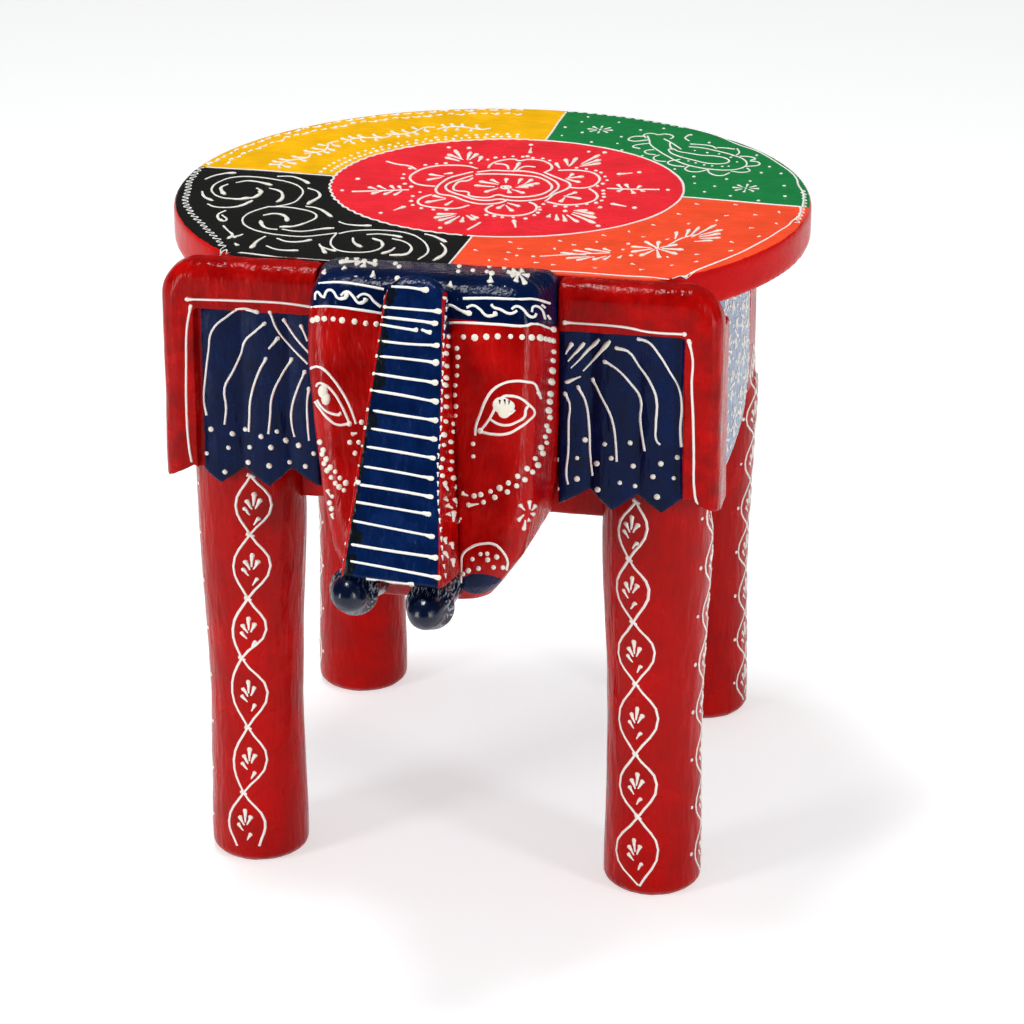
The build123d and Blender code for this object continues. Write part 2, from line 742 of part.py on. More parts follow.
save(head_block, "head_block")

# ---------------------------------------------------------------- tail
with BuildPart() as tail:
    with BuildSketch(Plane(origin=(0, rump_y, 0), x_dir=(1, 0, 0), z_dir=(0, -1, 0))):
        with BuildLine():
            Polyline(
                (-tail_half_width, tail_top_height),
                (-tail_half_width, tail_tuft_height),
                (-tail_tuft_half_width, tail_tuft_height - tail_tuft_half_width),
                (0, tail_tip_height),
                (tail_tuft_half_width, tail_tuft_height - tail_tuft_half_width),
                (tail_half_width, tail_tuft_height),
                (tail_half_width, tail_top_height),
                close=True,
            )
        make_face()
        fillet(vertices().sort_by(Axis.Y)[-2:], tail_half_width - glue_gap)
    extrude(amount=-tail_thickness)
    tail_back_y = rump_y + tail_thickness
    fillet(tail.edges().filter_by_position(Axis.Y, tail_back_y, tail_back_y), tail_edge_round)
    add(tail_dowel_hole.part, mode=Mode.SUBTRACT)
save(tail, "tail")
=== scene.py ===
import math
import random
from functools import partial

import bmesh
import bpy
from mathutils import Matrix, Vector, noise
from mathutils.bvhtree import BVHTree


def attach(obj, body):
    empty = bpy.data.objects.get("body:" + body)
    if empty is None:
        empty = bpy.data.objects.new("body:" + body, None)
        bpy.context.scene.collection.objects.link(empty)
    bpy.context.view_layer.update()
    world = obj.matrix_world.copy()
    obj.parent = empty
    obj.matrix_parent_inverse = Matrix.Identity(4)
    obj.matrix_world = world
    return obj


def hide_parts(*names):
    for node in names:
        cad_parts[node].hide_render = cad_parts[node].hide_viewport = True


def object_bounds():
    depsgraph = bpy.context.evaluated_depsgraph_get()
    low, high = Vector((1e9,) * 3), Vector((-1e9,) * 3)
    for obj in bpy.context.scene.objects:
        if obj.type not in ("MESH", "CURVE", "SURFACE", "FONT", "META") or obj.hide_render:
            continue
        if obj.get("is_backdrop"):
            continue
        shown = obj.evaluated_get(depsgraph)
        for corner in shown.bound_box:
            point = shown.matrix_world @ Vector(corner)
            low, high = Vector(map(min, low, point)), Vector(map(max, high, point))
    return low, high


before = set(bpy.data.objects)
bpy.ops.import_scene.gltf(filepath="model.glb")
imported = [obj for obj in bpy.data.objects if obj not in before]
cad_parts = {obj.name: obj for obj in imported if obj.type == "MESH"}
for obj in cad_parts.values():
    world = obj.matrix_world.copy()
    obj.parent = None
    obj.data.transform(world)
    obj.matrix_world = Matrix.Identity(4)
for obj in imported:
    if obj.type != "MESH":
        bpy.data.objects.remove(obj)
cadBox = [list(corner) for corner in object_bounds()]
mm = 0.001
print("frame loaded:", len(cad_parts), "nodes")

# places that several pieces share, in mm, in the frame of the CAD model
# in every name left is -X and right is +X, as someone sees them who faces the elephant
seatPlace = {"y": 40.25, "top": 304.8, "bottom": 285.8, "radius": 151.0, "chordY": -75.25, "rimRound": 2.5}
seatDisc = {"x": 4.5, "y": 52, "across": 84.5, "deep": 80.5}  # the painted oval in the middle of the seat
legPlaces = {
    "legFrontLeft": {"x": -95.9, "y": -57.05, "radius": 23.5},
    "legFrontRight": {"x": 95.9, "y": -57.05, "radius": 23.5},
    "legRearLeft": {"x": -90.9, "y": 143.95, "radius": 23.5},
    "legRearRight": {"x": 90.9, "y": 143.95, "radius": 23.5},
}
trunkMiddle = -1.2


def linearColour(hexCode):
    channels = [int(hexCode[i:i + 2], 16) / 255 for i in (1, 3, 5)]
    linear = [c / 12.92 if c <= 0.04045 else ((c + 0.055) / 1.055) ** 2.4 for c in channels]
    return (*linear, 1.0)


# adds a node with its settings; an input that is given a node is linked to that node's first live output
def addNode(tree, kind, inputs=(), **settings):
    node = tree.nodes.new("ShaderNode" + kind)
    for name, value in settings.items():
        setattr(node, name, value)
    for socket, value in inputs.items() if isinstance(inputs, dict) else enumerate(inputs):
        if isinstance(value, bpy.types.Node):
            value = next(output for output in value.outputs if output.enabled)
        if isinstance(value, bpy.types.NodeSocket):
            tree.links.new(value, node.inputs[socket])
        else:
            node.inputs[socket].default_value = value
    return node


# an empty material or world, and addNode bound to its tree
def emptied(data):
    data.use_nodes = True
    data.node_tree.nodes.clear()
    return data, partial(addNode, data.node_tree)


def newPiece(name, mesh):
    piece = bpy.data.objects.new(name, mesh)
    bpy.context.scene.collection.objects.link(piece)
    return piece


def meshFrom(name, bm):
    mesh = bpy.data.meshes.new(name)
    bm.to_mesh(mesh)
    bm.free()
    return mesh


def copyOfNode(name, node):
    bm = bmesh.new()
    bm.from_mesh(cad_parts[node].data)
    bmesh.ops.remove_doubles(bm, verts=bm.verts, dist=0.002 * mm)
    return newPiece(name, meshFrom(name, bm))


# the mesh of an object once its modifiers or its curve are worked out
def meshOf(piece):
    graph = bpy.context.evaluated_depsgraph_get()
    graph.update()
    return bpy.data.meshes.new_from_object(piece.evaluated_get(graph))


def applyModifiers(piece):
    mesh = meshOf(piece)
    piece.modifiers.clear()
    piece.data = mesh
    return mesh


def clamped(value):
    return min(1.0, max(0.0, value))


def finishPiece(piece, material, nodes=()):
    piece.data.name = piece.name
    piece.data.materials.clear()
    piece.data.materials.append(material)
    piece.data.polygons.foreach_set("use_smooth", [True] * len(piece.data.polygons))
    if nodes:
        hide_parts(*nodes)
    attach(piece, "root")


# ---- camera
view = {"place": (0.332634, -1.649763, 0.825283), "pitch": 21.6477, "yaw": 10.8326, "lens": 132.79}
cameraData = bpy.data.cameras.new("camera")
cameraData.lens = view["lens"]
cameraData.sensor_width = 36.0
camera = bpy.data.objects.new("camera", cameraData)
camera.location = view["place"]
camera.rotation_euler = (math.radians(90 - view["pitch"]), 0, math.radians(view["yaw"]))
bpy.context.scene.collection.objects.link(camera)
bpy.context.scene.camera = camera

# ---- paint
paints = {
    "red": "#b00503",
    "deepRed": "#a90403",
    "seatRed": "#d01416",
    "crimson": "#f22c38",
    "orange": "#fd5430",
    "yellow": "#febe08",
    "green": "#1c8244",
    "black": "#1c1c1b",
    "navy": "#021b48",
    "tuskNavy": "#010d2a",
    "earNavy": "#00143f",
    "capNavy": "#00133c",
    # near black, painted on the trunk's front at its foot and in patches down its left edge
    "trunkEdgeDark": "#0a1018",
    # the flanks' blue paint lightened towards the grey-blue they show at a grazing angle: own colour with a painted
    # reflection in it
    "reflectionLightenedBlue": "#6681a6",
    "white": "#fffefa",
    "cream": "#f3e9c6",
    "grit": "#1a0f0c",
    # grey of the white floor's reflection, painted as streaks on the tusks
    "floorReflectionGrey": "#a9adb4",
}
paints = {name: linearColour(hexCode) for name, hexCode in paints.items()}

# how the enamel lies; lengths in mm, and "along" squeezes the brush marks along the work
brushed = {
    "waver": 0.35,
    "waverLength": 5,
    "along": (1, 1, 0.25),
    "bristles": 1.6,
    "bristleDepth": 0.08,
    "lumpSize": 3.6,
    "lumpDepth": 1.1,
    "cloudSize": 18,
    "cloud": 0.75,
    "streak": 0.28,
    "relief": 0.7,
    "shine": (0.16, 0.32),
    "specular": 0.13,
    "gritPitch": 9,
    "gritShare": 0.16,
    "gritRadius": 0.405,
    "gritStrength": 0.6,
}


# Oil-based gloss enamel, brushed on by hand. The eye sees a clear shine, faint brush marks along the work,
# slightly cloudy colour where the coat is thin, and a few specks of grit caught in it.
# zones(add, place) gives the colour, so that one coat can hold several paints.
def enamelMaterial(name, look, zones):
    material, add = emptied(bpy.data.materials.new(name))
    place = add("TexCoord").outputs["Object"]
    # hand-cut borders between two paints waver by a fraction of a millimetre
    waver = add("TexNoise", {"Vector": place, "Scale": 1 / (look["waverLength"] * mm), "Detail": 1.0})
    waver = add("VectorMath", (waver.outputs["Color"], (0.5, 0.5, 0.5)), operation="SUBTRACT")
    waver = add("VectorMath", {0: waver, "Scale": 2 * look["waver"] * mm}, operation="SCALE")
    colour = zones(add, add("VectorMath", (place, waver), operation="ADD").outputs[0])
    stretched = add("Mapping", {"Vector": place, "Scale": look["along"]})
    brush = add("TexNoise", {"Vector": stretched, "Scale": 1 / (look["bristles"] * mm), "Detail": 3.0})
    cloud = add("TexNoise", {"Vector": place, "Scale": 1 / (look["cloudSize"] * mm), "Detail": 3.0})
    lumps = add("TexNoise", {"Vector": stretched, "Scale": 1 / (look["lumpSize"] * mm), "Detail": 2.0})
    middle = 1 - (look["cloud"] + look["streak"]) / 2
    tone = add("Math", (cloud, look["cloud"], middle), operation="MULTIPLY_ADD")
    tone = add("Math", (brush, look["streak"], tone), operation="MULTIPLY_ADD")
    shaded = add("HueSaturation", {"Color": colour, "Value": tone})
    # a few cells of a coarse pattern hold a speck of grit each
    grit = add("TexVoronoi", {"Vector": place, "Scale": 1 / (look["gritPitch"] * mm)})
    near = add("Math", (grit, look["gritRadius"] / look["gritPitch"]), operation="LESS_THAN")
    drawn = add("SeparateColor", {"Color": grit.outputs["Color"]})
    some = add("Math", (drawn, 1 - look["gritShare"]), operation="GREATER_THAN")
    speck = add("Math", (near, some), operation="MULTIPLY")
    speck = add("Math", (speck, look["gritStrength"]), operation="MULTIPLY")
    speckled = add("Mix", {0: speck, 6: shaded, 7: paints["grit"]}, data_type="RGBA")
    relief = add("Bump", {"Height": lumps, "Strength": look["relief"], "Distance": look["lumpDepth"] * mm})
    ribs = {"Height": brush, "Strength": look["relief"], "Distance": look["bristleDepth"] * mm, "Normal": relief}
    # thin places are a little glossier than thick ones
    low, high = look["shine"]
    shine = add("MapRange", {"Value": cloud, "From Min": 0.3, "From Max": 0.7, "To Min": low, "To Max": high})
    coat = {"Base Color": speckled, "Roughness": shine, "Specular IOR Level": look["specular"]}
    coat = add("BsdfPrincipled", {**coat, "IOR": 1.5, "Normal": add("Bump", ribs)})
    add("OutputMaterial", {"Surface": coat})
    return material


# where one paint ends and the next begins, in mm; leans are mm per mm
quarterEdges = {"right": 4.8, "rightLean": -0.028, "back": 51.5, "backLean": 0.037}
earField = {"middle": 1.5, "half": 110.9, "top": 283.8, "deep": -90.5, "front": -82}
capEdge = {"height": 298.7, "lean": 0.028, "drop": 0.33, "levelTo": -127}
lipPlace = {"x": 30.5, "z": 182, "across": 8.6, "deep": 6.2, "front": -115}
trunkEdge = {"half": 11.9, "at": 315, "widening": 0.0764, "rim": 0.9, "cap": 292}
# where the trunk's front is painted near black: patch size, reach and depth below the foot's height, in mm
trunkDarkening = {"patches": 9, "strength": 22, "inside": 8.5, "foot": 193.5, "footWaver": 5}


# in the next functions a colour Mix node has its mask at 0, what is under it at 6 and what is over it at 7
def seatZones(add, place):
    x, y, z = add("SeparateXYZ", {"Vector": place}).outputs
    middle = (seatDisc["x"] * mm, seatDisc["y"] * mm, 0)
    stretch = (1 / (seatDisc["across"] * mm), 1 / (seatDisc["deep"] * mm), 0)
    ring = add("VectorMath", (place, middle), operation="SUBTRACT")
    ring = add("VectorMath", (ring, stretch), operation="MULTIPLY")
    ring = add("VectorMath", (ring,), operation="LENGTH")
    disc = add("Math", (ring, 1.0), operation="LESS_THAN")
    # the borders between the quarters run a little askew, drawn by eye
    right = add("Math", (y, quarterEdges["rightLean"], x), operation="MULTIPLY_ADD")
    right = add("Math", (right, quarterEdges["right"] * mm), operation="GREATER_THAN")
    back = add("Math", (x, quarterEdges["backLean"], y), operation="MULTIPLY_ADD")
    back = add("Math", (back, quarterEdges["back"] * mm), operation="GREATER_THAN")
    rear = add("Mix", {0: right, 6: paints["yellow"], 7: paints["green"]}, data_type="RGBA")
    front = add("Mix", {0: right, 6: paints["black"], 7: paints["orange"]}, data_type="RGBA")
    quarters = add("Mix", {0: back, 6: front, 7: rear}, data_type="RGBA")
    onTop = add("Mix", {0: disc, 6: quarters, 7: paints["crimson"]}, data_type="RGBA")
    top = add("Math", (z, (seatPlace["top"] - 1.2) * mm), operation="GREATER_THAN")
    return add("Mix", {0: top, 6: paints["seatRed"], 7: onTop}, data_type="RGBA")


# the recessed field is navy: near enough to the ears' middle, below the top border and between two depths
def earZones(add, place):
    x, y, z = add("SeparateXYZ", {"Vector": place}).outputs
    across = add("Math", (x, earField["middle"] * mm), operation="SUBTRACT")
    across = add("Math", (across,), operation="ABSOLUTE")
    below, field = {"half": across, "top": z, "front": y}, 1.0
    for limit in ("half", "top", "deep", "front"):
        test = "LESS_THAN" if limit in below else "GREATER_THAN"
        within = add("Math", (below.get(limit, y), earField[limit] * mm), operation=test)
        field = add("Math", (field, within), operation="MULTIPLY")
    return add("Mix", {0: field, 6: paints["deepRed"], 7: paints["earNavy"]}, data_type="RGBA")


# navy cap and lips on a red head; the cap's edge is level across the forehead and runs down to the ears
def headZones(add, place):
    x, y, z = add("SeparateXYZ", {"Vector": place}).outputs
    back = add("Math", (y, capEdge["levelTo"] * mm), operation="SUBTRACT")
    back = add("Math", (back, 0.0), operation="MAXIMUM")
    edge = add("Math", (x, capEdge["lean"], z), operation="MULTIPLY_ADD")
    edge = add("Math", (back, capEdge["drop"], edge), operation="MULTIPLY_ADD")
    cap = add("Math", (edge, capEdge["height"] * mm), operation="GREATER_THAN")
    across = add("Math", (x,), operation="ABSOLUTE")
    mouth = add("CombineXYZ", {"X": across, "Z": z})
    mouth = add("VectorMath", (mouth, (lipPlace["x"] * mm, 0, lipPlace["z"] * mm)), operation="SUBTRACT")
    stretch = (1 / (lipPlace["across"] * mm), 0, 1 / (lipPlace["deep"] * mm))
    mouth = add("VectorMath", (mouth, stretch), operation="MULTIPLY")
    mouth = add("VectorMath", (mouth,), operation="LENGTH")
    lips = add("Math", (mouth, 1.0), operation="LESS_THAN")
    forward = add("Math", (y, lipPlace["front"] * mm), operation="LESS_THAN")
    lips = add("Math", (lips, forward), operation="MULTIPLY")
    dark = add("Math", (cap, lips), operation="MAXIMUM")
    return add("Mix", {0: dark, 6: paints["red"], 7: paints["capNavy"]}, data_type="RGBA")


# navy front and red sides; the trunk widens steadily from its top towards its foot
def trunkZones(add, place):
    x, y, z = add("SeparateXYZ", {"Vector": place}).outputs
    halfAtFloor = (trunkEdge["half"] + trunkEdge["widening"] * trunkEdge["at"]) * mm
    half = add("Math", (z, -trunkEdge["widening"], halfAtFloor), operation="MULTIPLY_ADD")
    across = add("Math", (x, trunkMiddle * mm), operation="SUBTRACT")
    out = add("Math", (across,), operation="ABSOLUTE")
    out = add("Math", (out, half), operation="SUBTRACT")
    # above the cap's edge only a thin red line follows the corner
    rim = add("Math", (out, trunkEdge["rim"] * mm), operation="LESS_THAN")
    low = add("Math", (z, trunkEdge["cap"] * mm), operation="LESS_THAN")
    reach = add("Math", (rim, low), operation="MAXIMUM")
    side = add("Math", (out, 0.0), operation="GREATER_THAN")
    side = add("Math", (side, reach), operation="MULTIPLY")
    # the front is painted near black at the foot and in patches down the left edge
    patchy = add("TexNoise", {"Vector": place, "Scale": 1 / (trunkDarkening["patches"] * mm), "Detail": 3.0})
    left = add("Math", (trunkMiddle * mm, x), operation="SUBTRACT")
    left = add("Math", (patchy, trunkDarkening["strength"] * mm, left), operation="MULTIPLY_ADD")
    edge = add("Math", (half, trunkDarkening["inside"] * mm), operation="ADD")
    left = add("Math", (left, edge), operation="GREATER_THAN")
    foot = add("Math", (patchy, -trunkDarkening["footWaver"] * mm, z), operation="MULTIPLY_ADD")
    foot = add("Math", (foot, trunkDarkening["foot"] * mm), operation="LESS_THAN")
    darkened = add("Math", (left, foot), operation="MAXIMUM")
    front = add("Mix", {0: darkened, 6: paints["navy"], 7: paints["trunkEdgeDark"]}, data_type="RGBA")
    return add("Mix", {0: side, 6: front, 7: paints["red"]}, data_type="RGBA")


# hair-thin grey streaks on the back of each tusk: a painted reflection of the white floor in the gloss
def tuskZonesWithPaintedReflection(add, place):
    reflectionWay = add("Mapping", {"Vector": place, "Rotation": (0, 0, math.radians(25)), "Scale": (1, 0.12, 0.45)})
    hairs = add("TexNoise", {"Vector": reflectionWay, "Scale": 1 / (0.7 * mm), "Detail": 2.0})
    hairs = add("MapRange", {"Value": hairs, "From Min": 0.52, "From Max": 0.6})
    x, y, z = add("SeparateXYZ", {"Vector": place}).outputs
    behind = add("MapRange", {"Value": y, "From Min": -184 * mm, "From Max": -177 * mm, "To Max": 0.75})
    streaks = add("Math", (hairs, behind), operation="MULTIPLY")
    return add("Mix", {0: streaks, 6: paints["tuskNavy"], 7: paints["floorReflectionGrey"]}, data_type="RGBA")


seatLook = {"along": (0.25, 1, 1), "lumpDepth": 0.25, "cloud": 0.45, "streak": 0.3, "specular": 0.05}
earLook = {"cloud": 1.5, "cloudSize": 9, "specular": 0.11}
trunkLook = {"cloud": 1.8, "cloudSize": 9}
tuskLook = {"specular": 0.35, "lumpDepth": 0.5}
redEnamel = enamelMaterial("redGlossEnamel", brushed, lambda add, place: paints["red"])
# the body's blue holds a painted grazing reflection that lightens it
bodyEnamel = enamelMaterial("blueGlossEnamelWithPaintedReflection", brushed, lambda add, place: paints["reflectionLightenedBlue"])
# navy tusks with a painted reflection of the floor as grey streaks
tuskEnamel = enamelMaterial("navyEnamelWithPaintedReflection", {**brushed, **tuskLook}, tuskZonesWithPaintedReflection)
seatEnamel = enamelMaterial("seatSectorEnamel", {**brushed, **seatLook}, seatZones)
earEnamel = enamelMaterial("earBorderAndFieldEnamel", {**brushed, **earLook}, earZones)
headEnamel = enamelMaterial("headRedAndNavyEnamel", {**brushed, "cloud": 1.2}, headZones)
trunkEnamel = enamelMaterial("trunkNavyAndRedEnamel", {**brushed, **trunkLook}, trunkZones)
print("enamels mixed")

# ---- carved wood
# Mango wood shaped with a rasp and sanded by hand. The eye sees soft waves in the highlights.
# The piece is smoothed again and again behind one plane and above another, and less and less near them.
def rollOver(piece, roll):
    group = piece.vertex_groups.new(name="roll")
    for v in piece.data.vertices:
        back = clamped((roll["back"] - v.co.y / mm) / roll["fade"])
        weight = back * clamped((v.co.z / mm - roll["low"]) / roll["fade"])
        if weight > 0:
            group.add([v.index], weight, "REPLACE")
    rounded = piece.modifiers.new("rolled", "SMOOTH")
    rounded.factor = 0.9
    rounded.iterations = roll["passes"]
    rounded.vertex_group = "roll"
    applyModifiers(piece)
    piece.vertex_groups.clear()


def carve(piece, look, seed):
    remesh = piece.modifiers.new("even", "REMESH")
    remesh.mode = "VOXEL"
    remesh.voxel_size = look["voxel"] * mm
    remesh.adaptivity = 0
    sanded = piece.modifiers.new("sanded", "SMOOTH")
    sanded.factor = 0.5
    sanded.iterations = look["sanding"]
    applyModifiers(piece)
    if "roll" in look:
        rollOver(piece, look["roll"])
    random.seed(seed)
    shift = Vector([random.uniform(-50, 50) for i in range(3)])
    normals = [v.normal.copy() for v in piece.data.vertices]
    for v, normal in zip(piece.data.vertices, normals):
        place = v.co / mm
        wave = noise.noise(place / look["waveLength"] + shift)
        upright = Vector((place.x, place.y, place.z * look["upright"]))
        stroke = noise.noise(upright / look["strokeLength"] + shift)
        v.co += normal * (wave * look["waveDepth"] + stroke * look["strokeDepth"]) * mm
    piece.data.update()
    return piece


# fills out the neck of a tusk, from its root to the bulb at its tip, as thick paint and glue do
def fillOut(piece, look):
    spots = sorted((v.co.copy() for v in piece.data.vertices), key=lambda spot: spot.y)
    tip, root = (sum(few, Vector()) / len(few) for few in (spots[:40], spots[-40:]))
    along = (root - tip).normalized()
    for v in piece.data.vertices:
        far = (v.co - tip).dot(along)
        share = clamped((far / mm - look["from"]) / look["fade"])
        v.co += (v.co - tip - along * far) * share * (look["stouter"] - 1)
    piece.data.update()
    return piece


carving = {
    "sanding": 4,
    "waveLength": 26,
    "waveDepth": 0.3,
    "strokeLength": 7,
    "strokeDepth": 0.16,
    "upright": 0.35,
}
leg = {"voxel": 1.5, "slot": "leg_paint", "material": redEnamel}
ear = {"voxel": 1.0, "strokeDepth": 0.35, "slot": "ear_paint", "material": earEnamel}
tusk = {"voxel": 0.7, "slot": "tusk_paint", "material": tuskEnamel}
body = {"voxel": 1.6, "slot": "body_paint", "material": bodyEnamel}
# the brow rolls over into the crown
brow = {"back": -88, "low": 292, "fade": 12, "passes": 160}
head = {"voxel": 1.2, "slot": "head_paint", "material": headEnamel, "roll": brow}
trunk = {"voxel": 0.9, "slot": "trunk_paint", "material": trunkEnamel}
carvings = {
    "head": {"node": "head_block", **head},
    "trunk": {"node": "trunk", **trunk},
    "tuskLeft": {"node": "tusk_left", **tusk},
    "tuskRight": {"node": "tusk_right", **tusk},
    "earLeft": {"node": "ear_left", **ear},
    "earRight": {"node": "ear_right", **ear},
    "legFrontLeft": {"node": "leg_front_left", **leg},
    "legFrontRight": {"node": "leg_front_right", **leg},
    "legRearLeft": {"node": "leg_rear_left", **leg},
    "legRearRight": {"node": "leg_rear_right", **leg},
    "bodyFront": {"node": "front_block", **body, "material": redEnamel},
    "bodyRear": {"node": "rear_block", **body},
    "bodySideLeft": {"node": "side_panel_left", **body},
    "bodySideRight": {"node": "side_panel_right", **body},
    "tail": {"node": "tail", "voxel": 0.7, "slot": "tail_paint", "material": bodyEnamel},
}
tuskNeck = {"from": 12, "fade": 5, "stouter": 1.35}
pieces = {}
for number, (name, choice) in enumerate(carvings.items()):
    blank = copyOfNode(name, choice["node"])
    if "tusk" in name:
        fillOut(blank, tuskNeck)
    pieces[name] = carve(blank, {**carving, **choice}, number)
    finishPiece(pieces[name], choice["material"], [choice["node"]])
print("carved pieces:", len(pieces), "with", sum(len(p.data.polygons) for p in pieces.values()), "faces")

# ---- seat: a round board, its front sawn straight, with its screw plugs painted over
seatCarving = {**carving, "voxel": 1.7, "waveDepth": 0.15, "strokeDepth": 0.05, "sanding": 3}
bm = bmesh.new()
centre = Matrix.Translation((0, seatPlace["y"] * mm, seatPlace["bottom"] * mm))
bmesh.ops.create_circle(bm, cap_ends=True, segments=160, radius=seatPlace["radius"] * mm, matrix=centre)
board = bmesh.ops.extrude_face_region(bm, geom=bm.faces[:])
lifted = [g for g in board["geom"] if isinstance(g, bmesh.types.BMVert)]
bmesh.ops.translate(bm, verts=lifted, vec=(0, 0, (seatPlace["top"] - seatPlace["bottom"]) * mm))
everything = bm.verts[:] + bm.edges[:] + bm.faces[:]
chord = (0, seatPlace["chordY"] * mm, 0)
bmesh.ops.bisect_plane(bm, geom=everything, plane_co=chord, plane_no=(0, 1, 0), clear_inner=True)
bmesh.ops.holes_fill(bm, edges=[e for e in bm.edges if e.is_boundary], sides=0)
bmesh.ops.recalc_face_normals(bm, faces=bm.faces[:])
rim = [e for e in bm.edges if e.calc_face_angle(0) > 1 and abs((e.verts[0].co - e.verts[1].co).z) < 1e-6]
rim = [e for e in rim if (e.verts[0].co.y + e.verts[1].co.y) / 2 > (seatPlace["chordY"] + 0.01) * mm]
rimRound = seatPlace["rimRound"] * mm
bmesh.ops.bevel(bm, geom=rim, offset=rimRound, segments=4, affect="EDGES", profile=0.5, material=-1)
pieces["seat"] = carve(newPiece("seat", meshFrom("seat", bm)), seatCarving, 40)
finishPiece(pieces["seat"], seatEnamel, ["seat_top", "seat_plugs"])
print("seat:", len(pieces["seat"].data.polygons), "faces")

# ---- raised white ornament
# Thick enamel squeezed from a cone: round-backed strokes, drops and dots that stand about half a millimetre
# high, clean white where thin and creamier where the paint is thick, with a dimple where a dot was let go.
coneEnamel, add = emptied(bpy.data.materials.new("whiteConeEnamel"))
place = add("TexCoord").outputs["Object"]
load = add("Attribute", attribute_name="load").outputs["Fac"]
mottle = add("TexNoise", {"Vector": place, "Scale": 1 / (1.2 * mm), "Detail": 2.0})
thick = add("Math", (mottle, 1.4, -0.15), operation="MULTIPLY_ADD")
thick = add("Math", (load, thick), operation="MULTIPLY")
colour = add("Mix", {0: thick, 6: paints["white"], 7: paints["cream"]}, data_type="RGBA")
relief = add("Bump", {"Height": mottle, "Strength": 0.25, "Distance": 0.1 * mm})
paint = {"Base Color": colour, "Roughness": 0.34, "IOR": 1.5, "Specular IOR Level": 0.3, "Normal": relief}
add("OutputMaterial", {"Surface": add("BsdfPrincipled", paint)})
eyeEnamel = enamelMaterial("blackEnamel", brushed, lambda add, place: paints["black"])

# how a hand lays it, in mm or as shares; the profile gives a drop's width at shares of its length
handLaid = {
    "wander": 0.12,
    "uneven": 0.12,
    "profile": {0.0: 0.6, 0.14: 1, 0.4: 0.68, 0.7: 0.46, 1.0: 0.3},
    "tallest": 1.45,
    "dimple": 0.65,
    "patchDimple": 0.95,
    "thickFrom": 0.3,
    "thickOver": 0.9,
    "proud": 0.5,
    "sunk": 0.4,
    "reach": 60,
}


# reads "x y, x y; x y, x y" as strokes of points, in mm
def strokesFrom(text):
    strokes = [stroke for stroke in text.replace("\n", " ").split(";") if stroke.strip()]
    return [[tuple(float(n) for n in point.split()) for point in stroke.split(",")] for stroke in strokes]


# gathers patterns into one, with every text read: lines and drops as strokes, dots as single points
def joined(*patterns):
    whole = {}
    for pattern in patterns:
        for kind, sizes in pattern.items():
            for radius, strokes in sizes.items():
                strokes = strokesFrom(strokes) if isinstance(strokes, str) else strokes
                if kind == "dots" and strokes and isinstance(strokes[0], list):
                    strokes = [spot for stroke in strokes for spot in stroke]
                whole.setdefault(kind, {}).setdefault(radius, []).extend(strokes)
    return whole


# gives each line a fat drop where the cone was set down, tapering into the line
def withHeads(lines, radius, length, end=0):
    drops = []
    for line in strokesFrom(lines):
        line = line[::-1] if end else line
        start, towards = Vector(line[0]), Vector(line[1])
        drops.append([line[0], tuple(start + (towards - start).normalized() * length)])
    return {radius: drops}


def alongStroke(points, pitch):
    spots, left = [], 0.0
    for a, b in zip(points, points[1:]):
        a, b = Vector(a), Vector(b)
        length = (b - a).length
        while left < length:
            spots.append((a.lerp(b, left / length), (b - a).normalized()))
            left += pitch
        left -= length
    return spots


def zigzag(points, pitch, swing):
    spots = alongStroke(points, pitch)
    steps = [swing * random.uniform(0.8, 1.15) * (-1) ** i for i in range(len(spots))]
    return [tuple(spot + Vector((-way.y, way.x)) * step) for step, (spot, way) in zip(steps, spots)]


def ellipsePoints(x, y, across, deep, start, end, step):
    turns = [start + (end - start) * i / step for i in range(step + 1)]
    return [(x + across * math.cos(math.radians(t)), y + deep * math.sin(math.radians(t))) for t in turns]


# the seat's painted disc, or an oval that is wider by the same distance all round
def aroundDisc(wider, start, end, step):
    across, deep = seatDisc["across"] + wider, seatDisc["deep"] + wider
    return ellipsePoints(seatDisc["x"], seatDisc["y"], across, deep, start, end, step)


# eight strokes that point at the middle of a flower
def petalsOf(x, y, outer, inner, turn=0):
    ways = [(math.cos(math.pi * k / 4 + turn), math.sin(math.pi * k / 4 + turn)) for k in range(8)]
    return [[(x + outer * c, y + outer * s), (x + inner * c, y + inner * s)] for c, s in ways]


def addStroke(curve, points, radii, closed=False):
    spline = curve.splines.new("BEZIER")
    spline.bezier_points.add(len(points) - 1)
    spline.radius_interpolation = "EASE"
    spline.use_cyclic_u = closed
    for knot, point, radius in zip(spline.bezier_points, points, radii):
        shift = [random.uniform(-1, 1) * handLaid["wander"] for i in range(2)]
        knot.co = ((point[0] + shift[0]) * mm, (point[1] + shift[1]) * mm, 0)
        knot.radius = radius * (1 + random.uniform(-1, 1) * handLaid["uneven"])
        knot.handle_left_type = knot.handle_right_type = "AUTO"


def addDrop(curve, points, radius):
    lengths = [0.0]
    for a, b in zip(points, points[1:]):
        lengths.append(lengths[-1] + math.dist(a, b))
    knots = []
    for share in handLaid["profile"]:
        far = share * lengths[-1]
        i = max(k for k in range(len(points) - 1) if lengths[k] <= far)
        part = (far - lengths[i]) / (lengths[i + 1] - lengths[i])
        knots.append(tuple(Vector(points[i]).lerp(Vector(points[i + 1]), part)))
    addStroke(curve, knots, [width * radius for width in handLaid["profile"].values()])


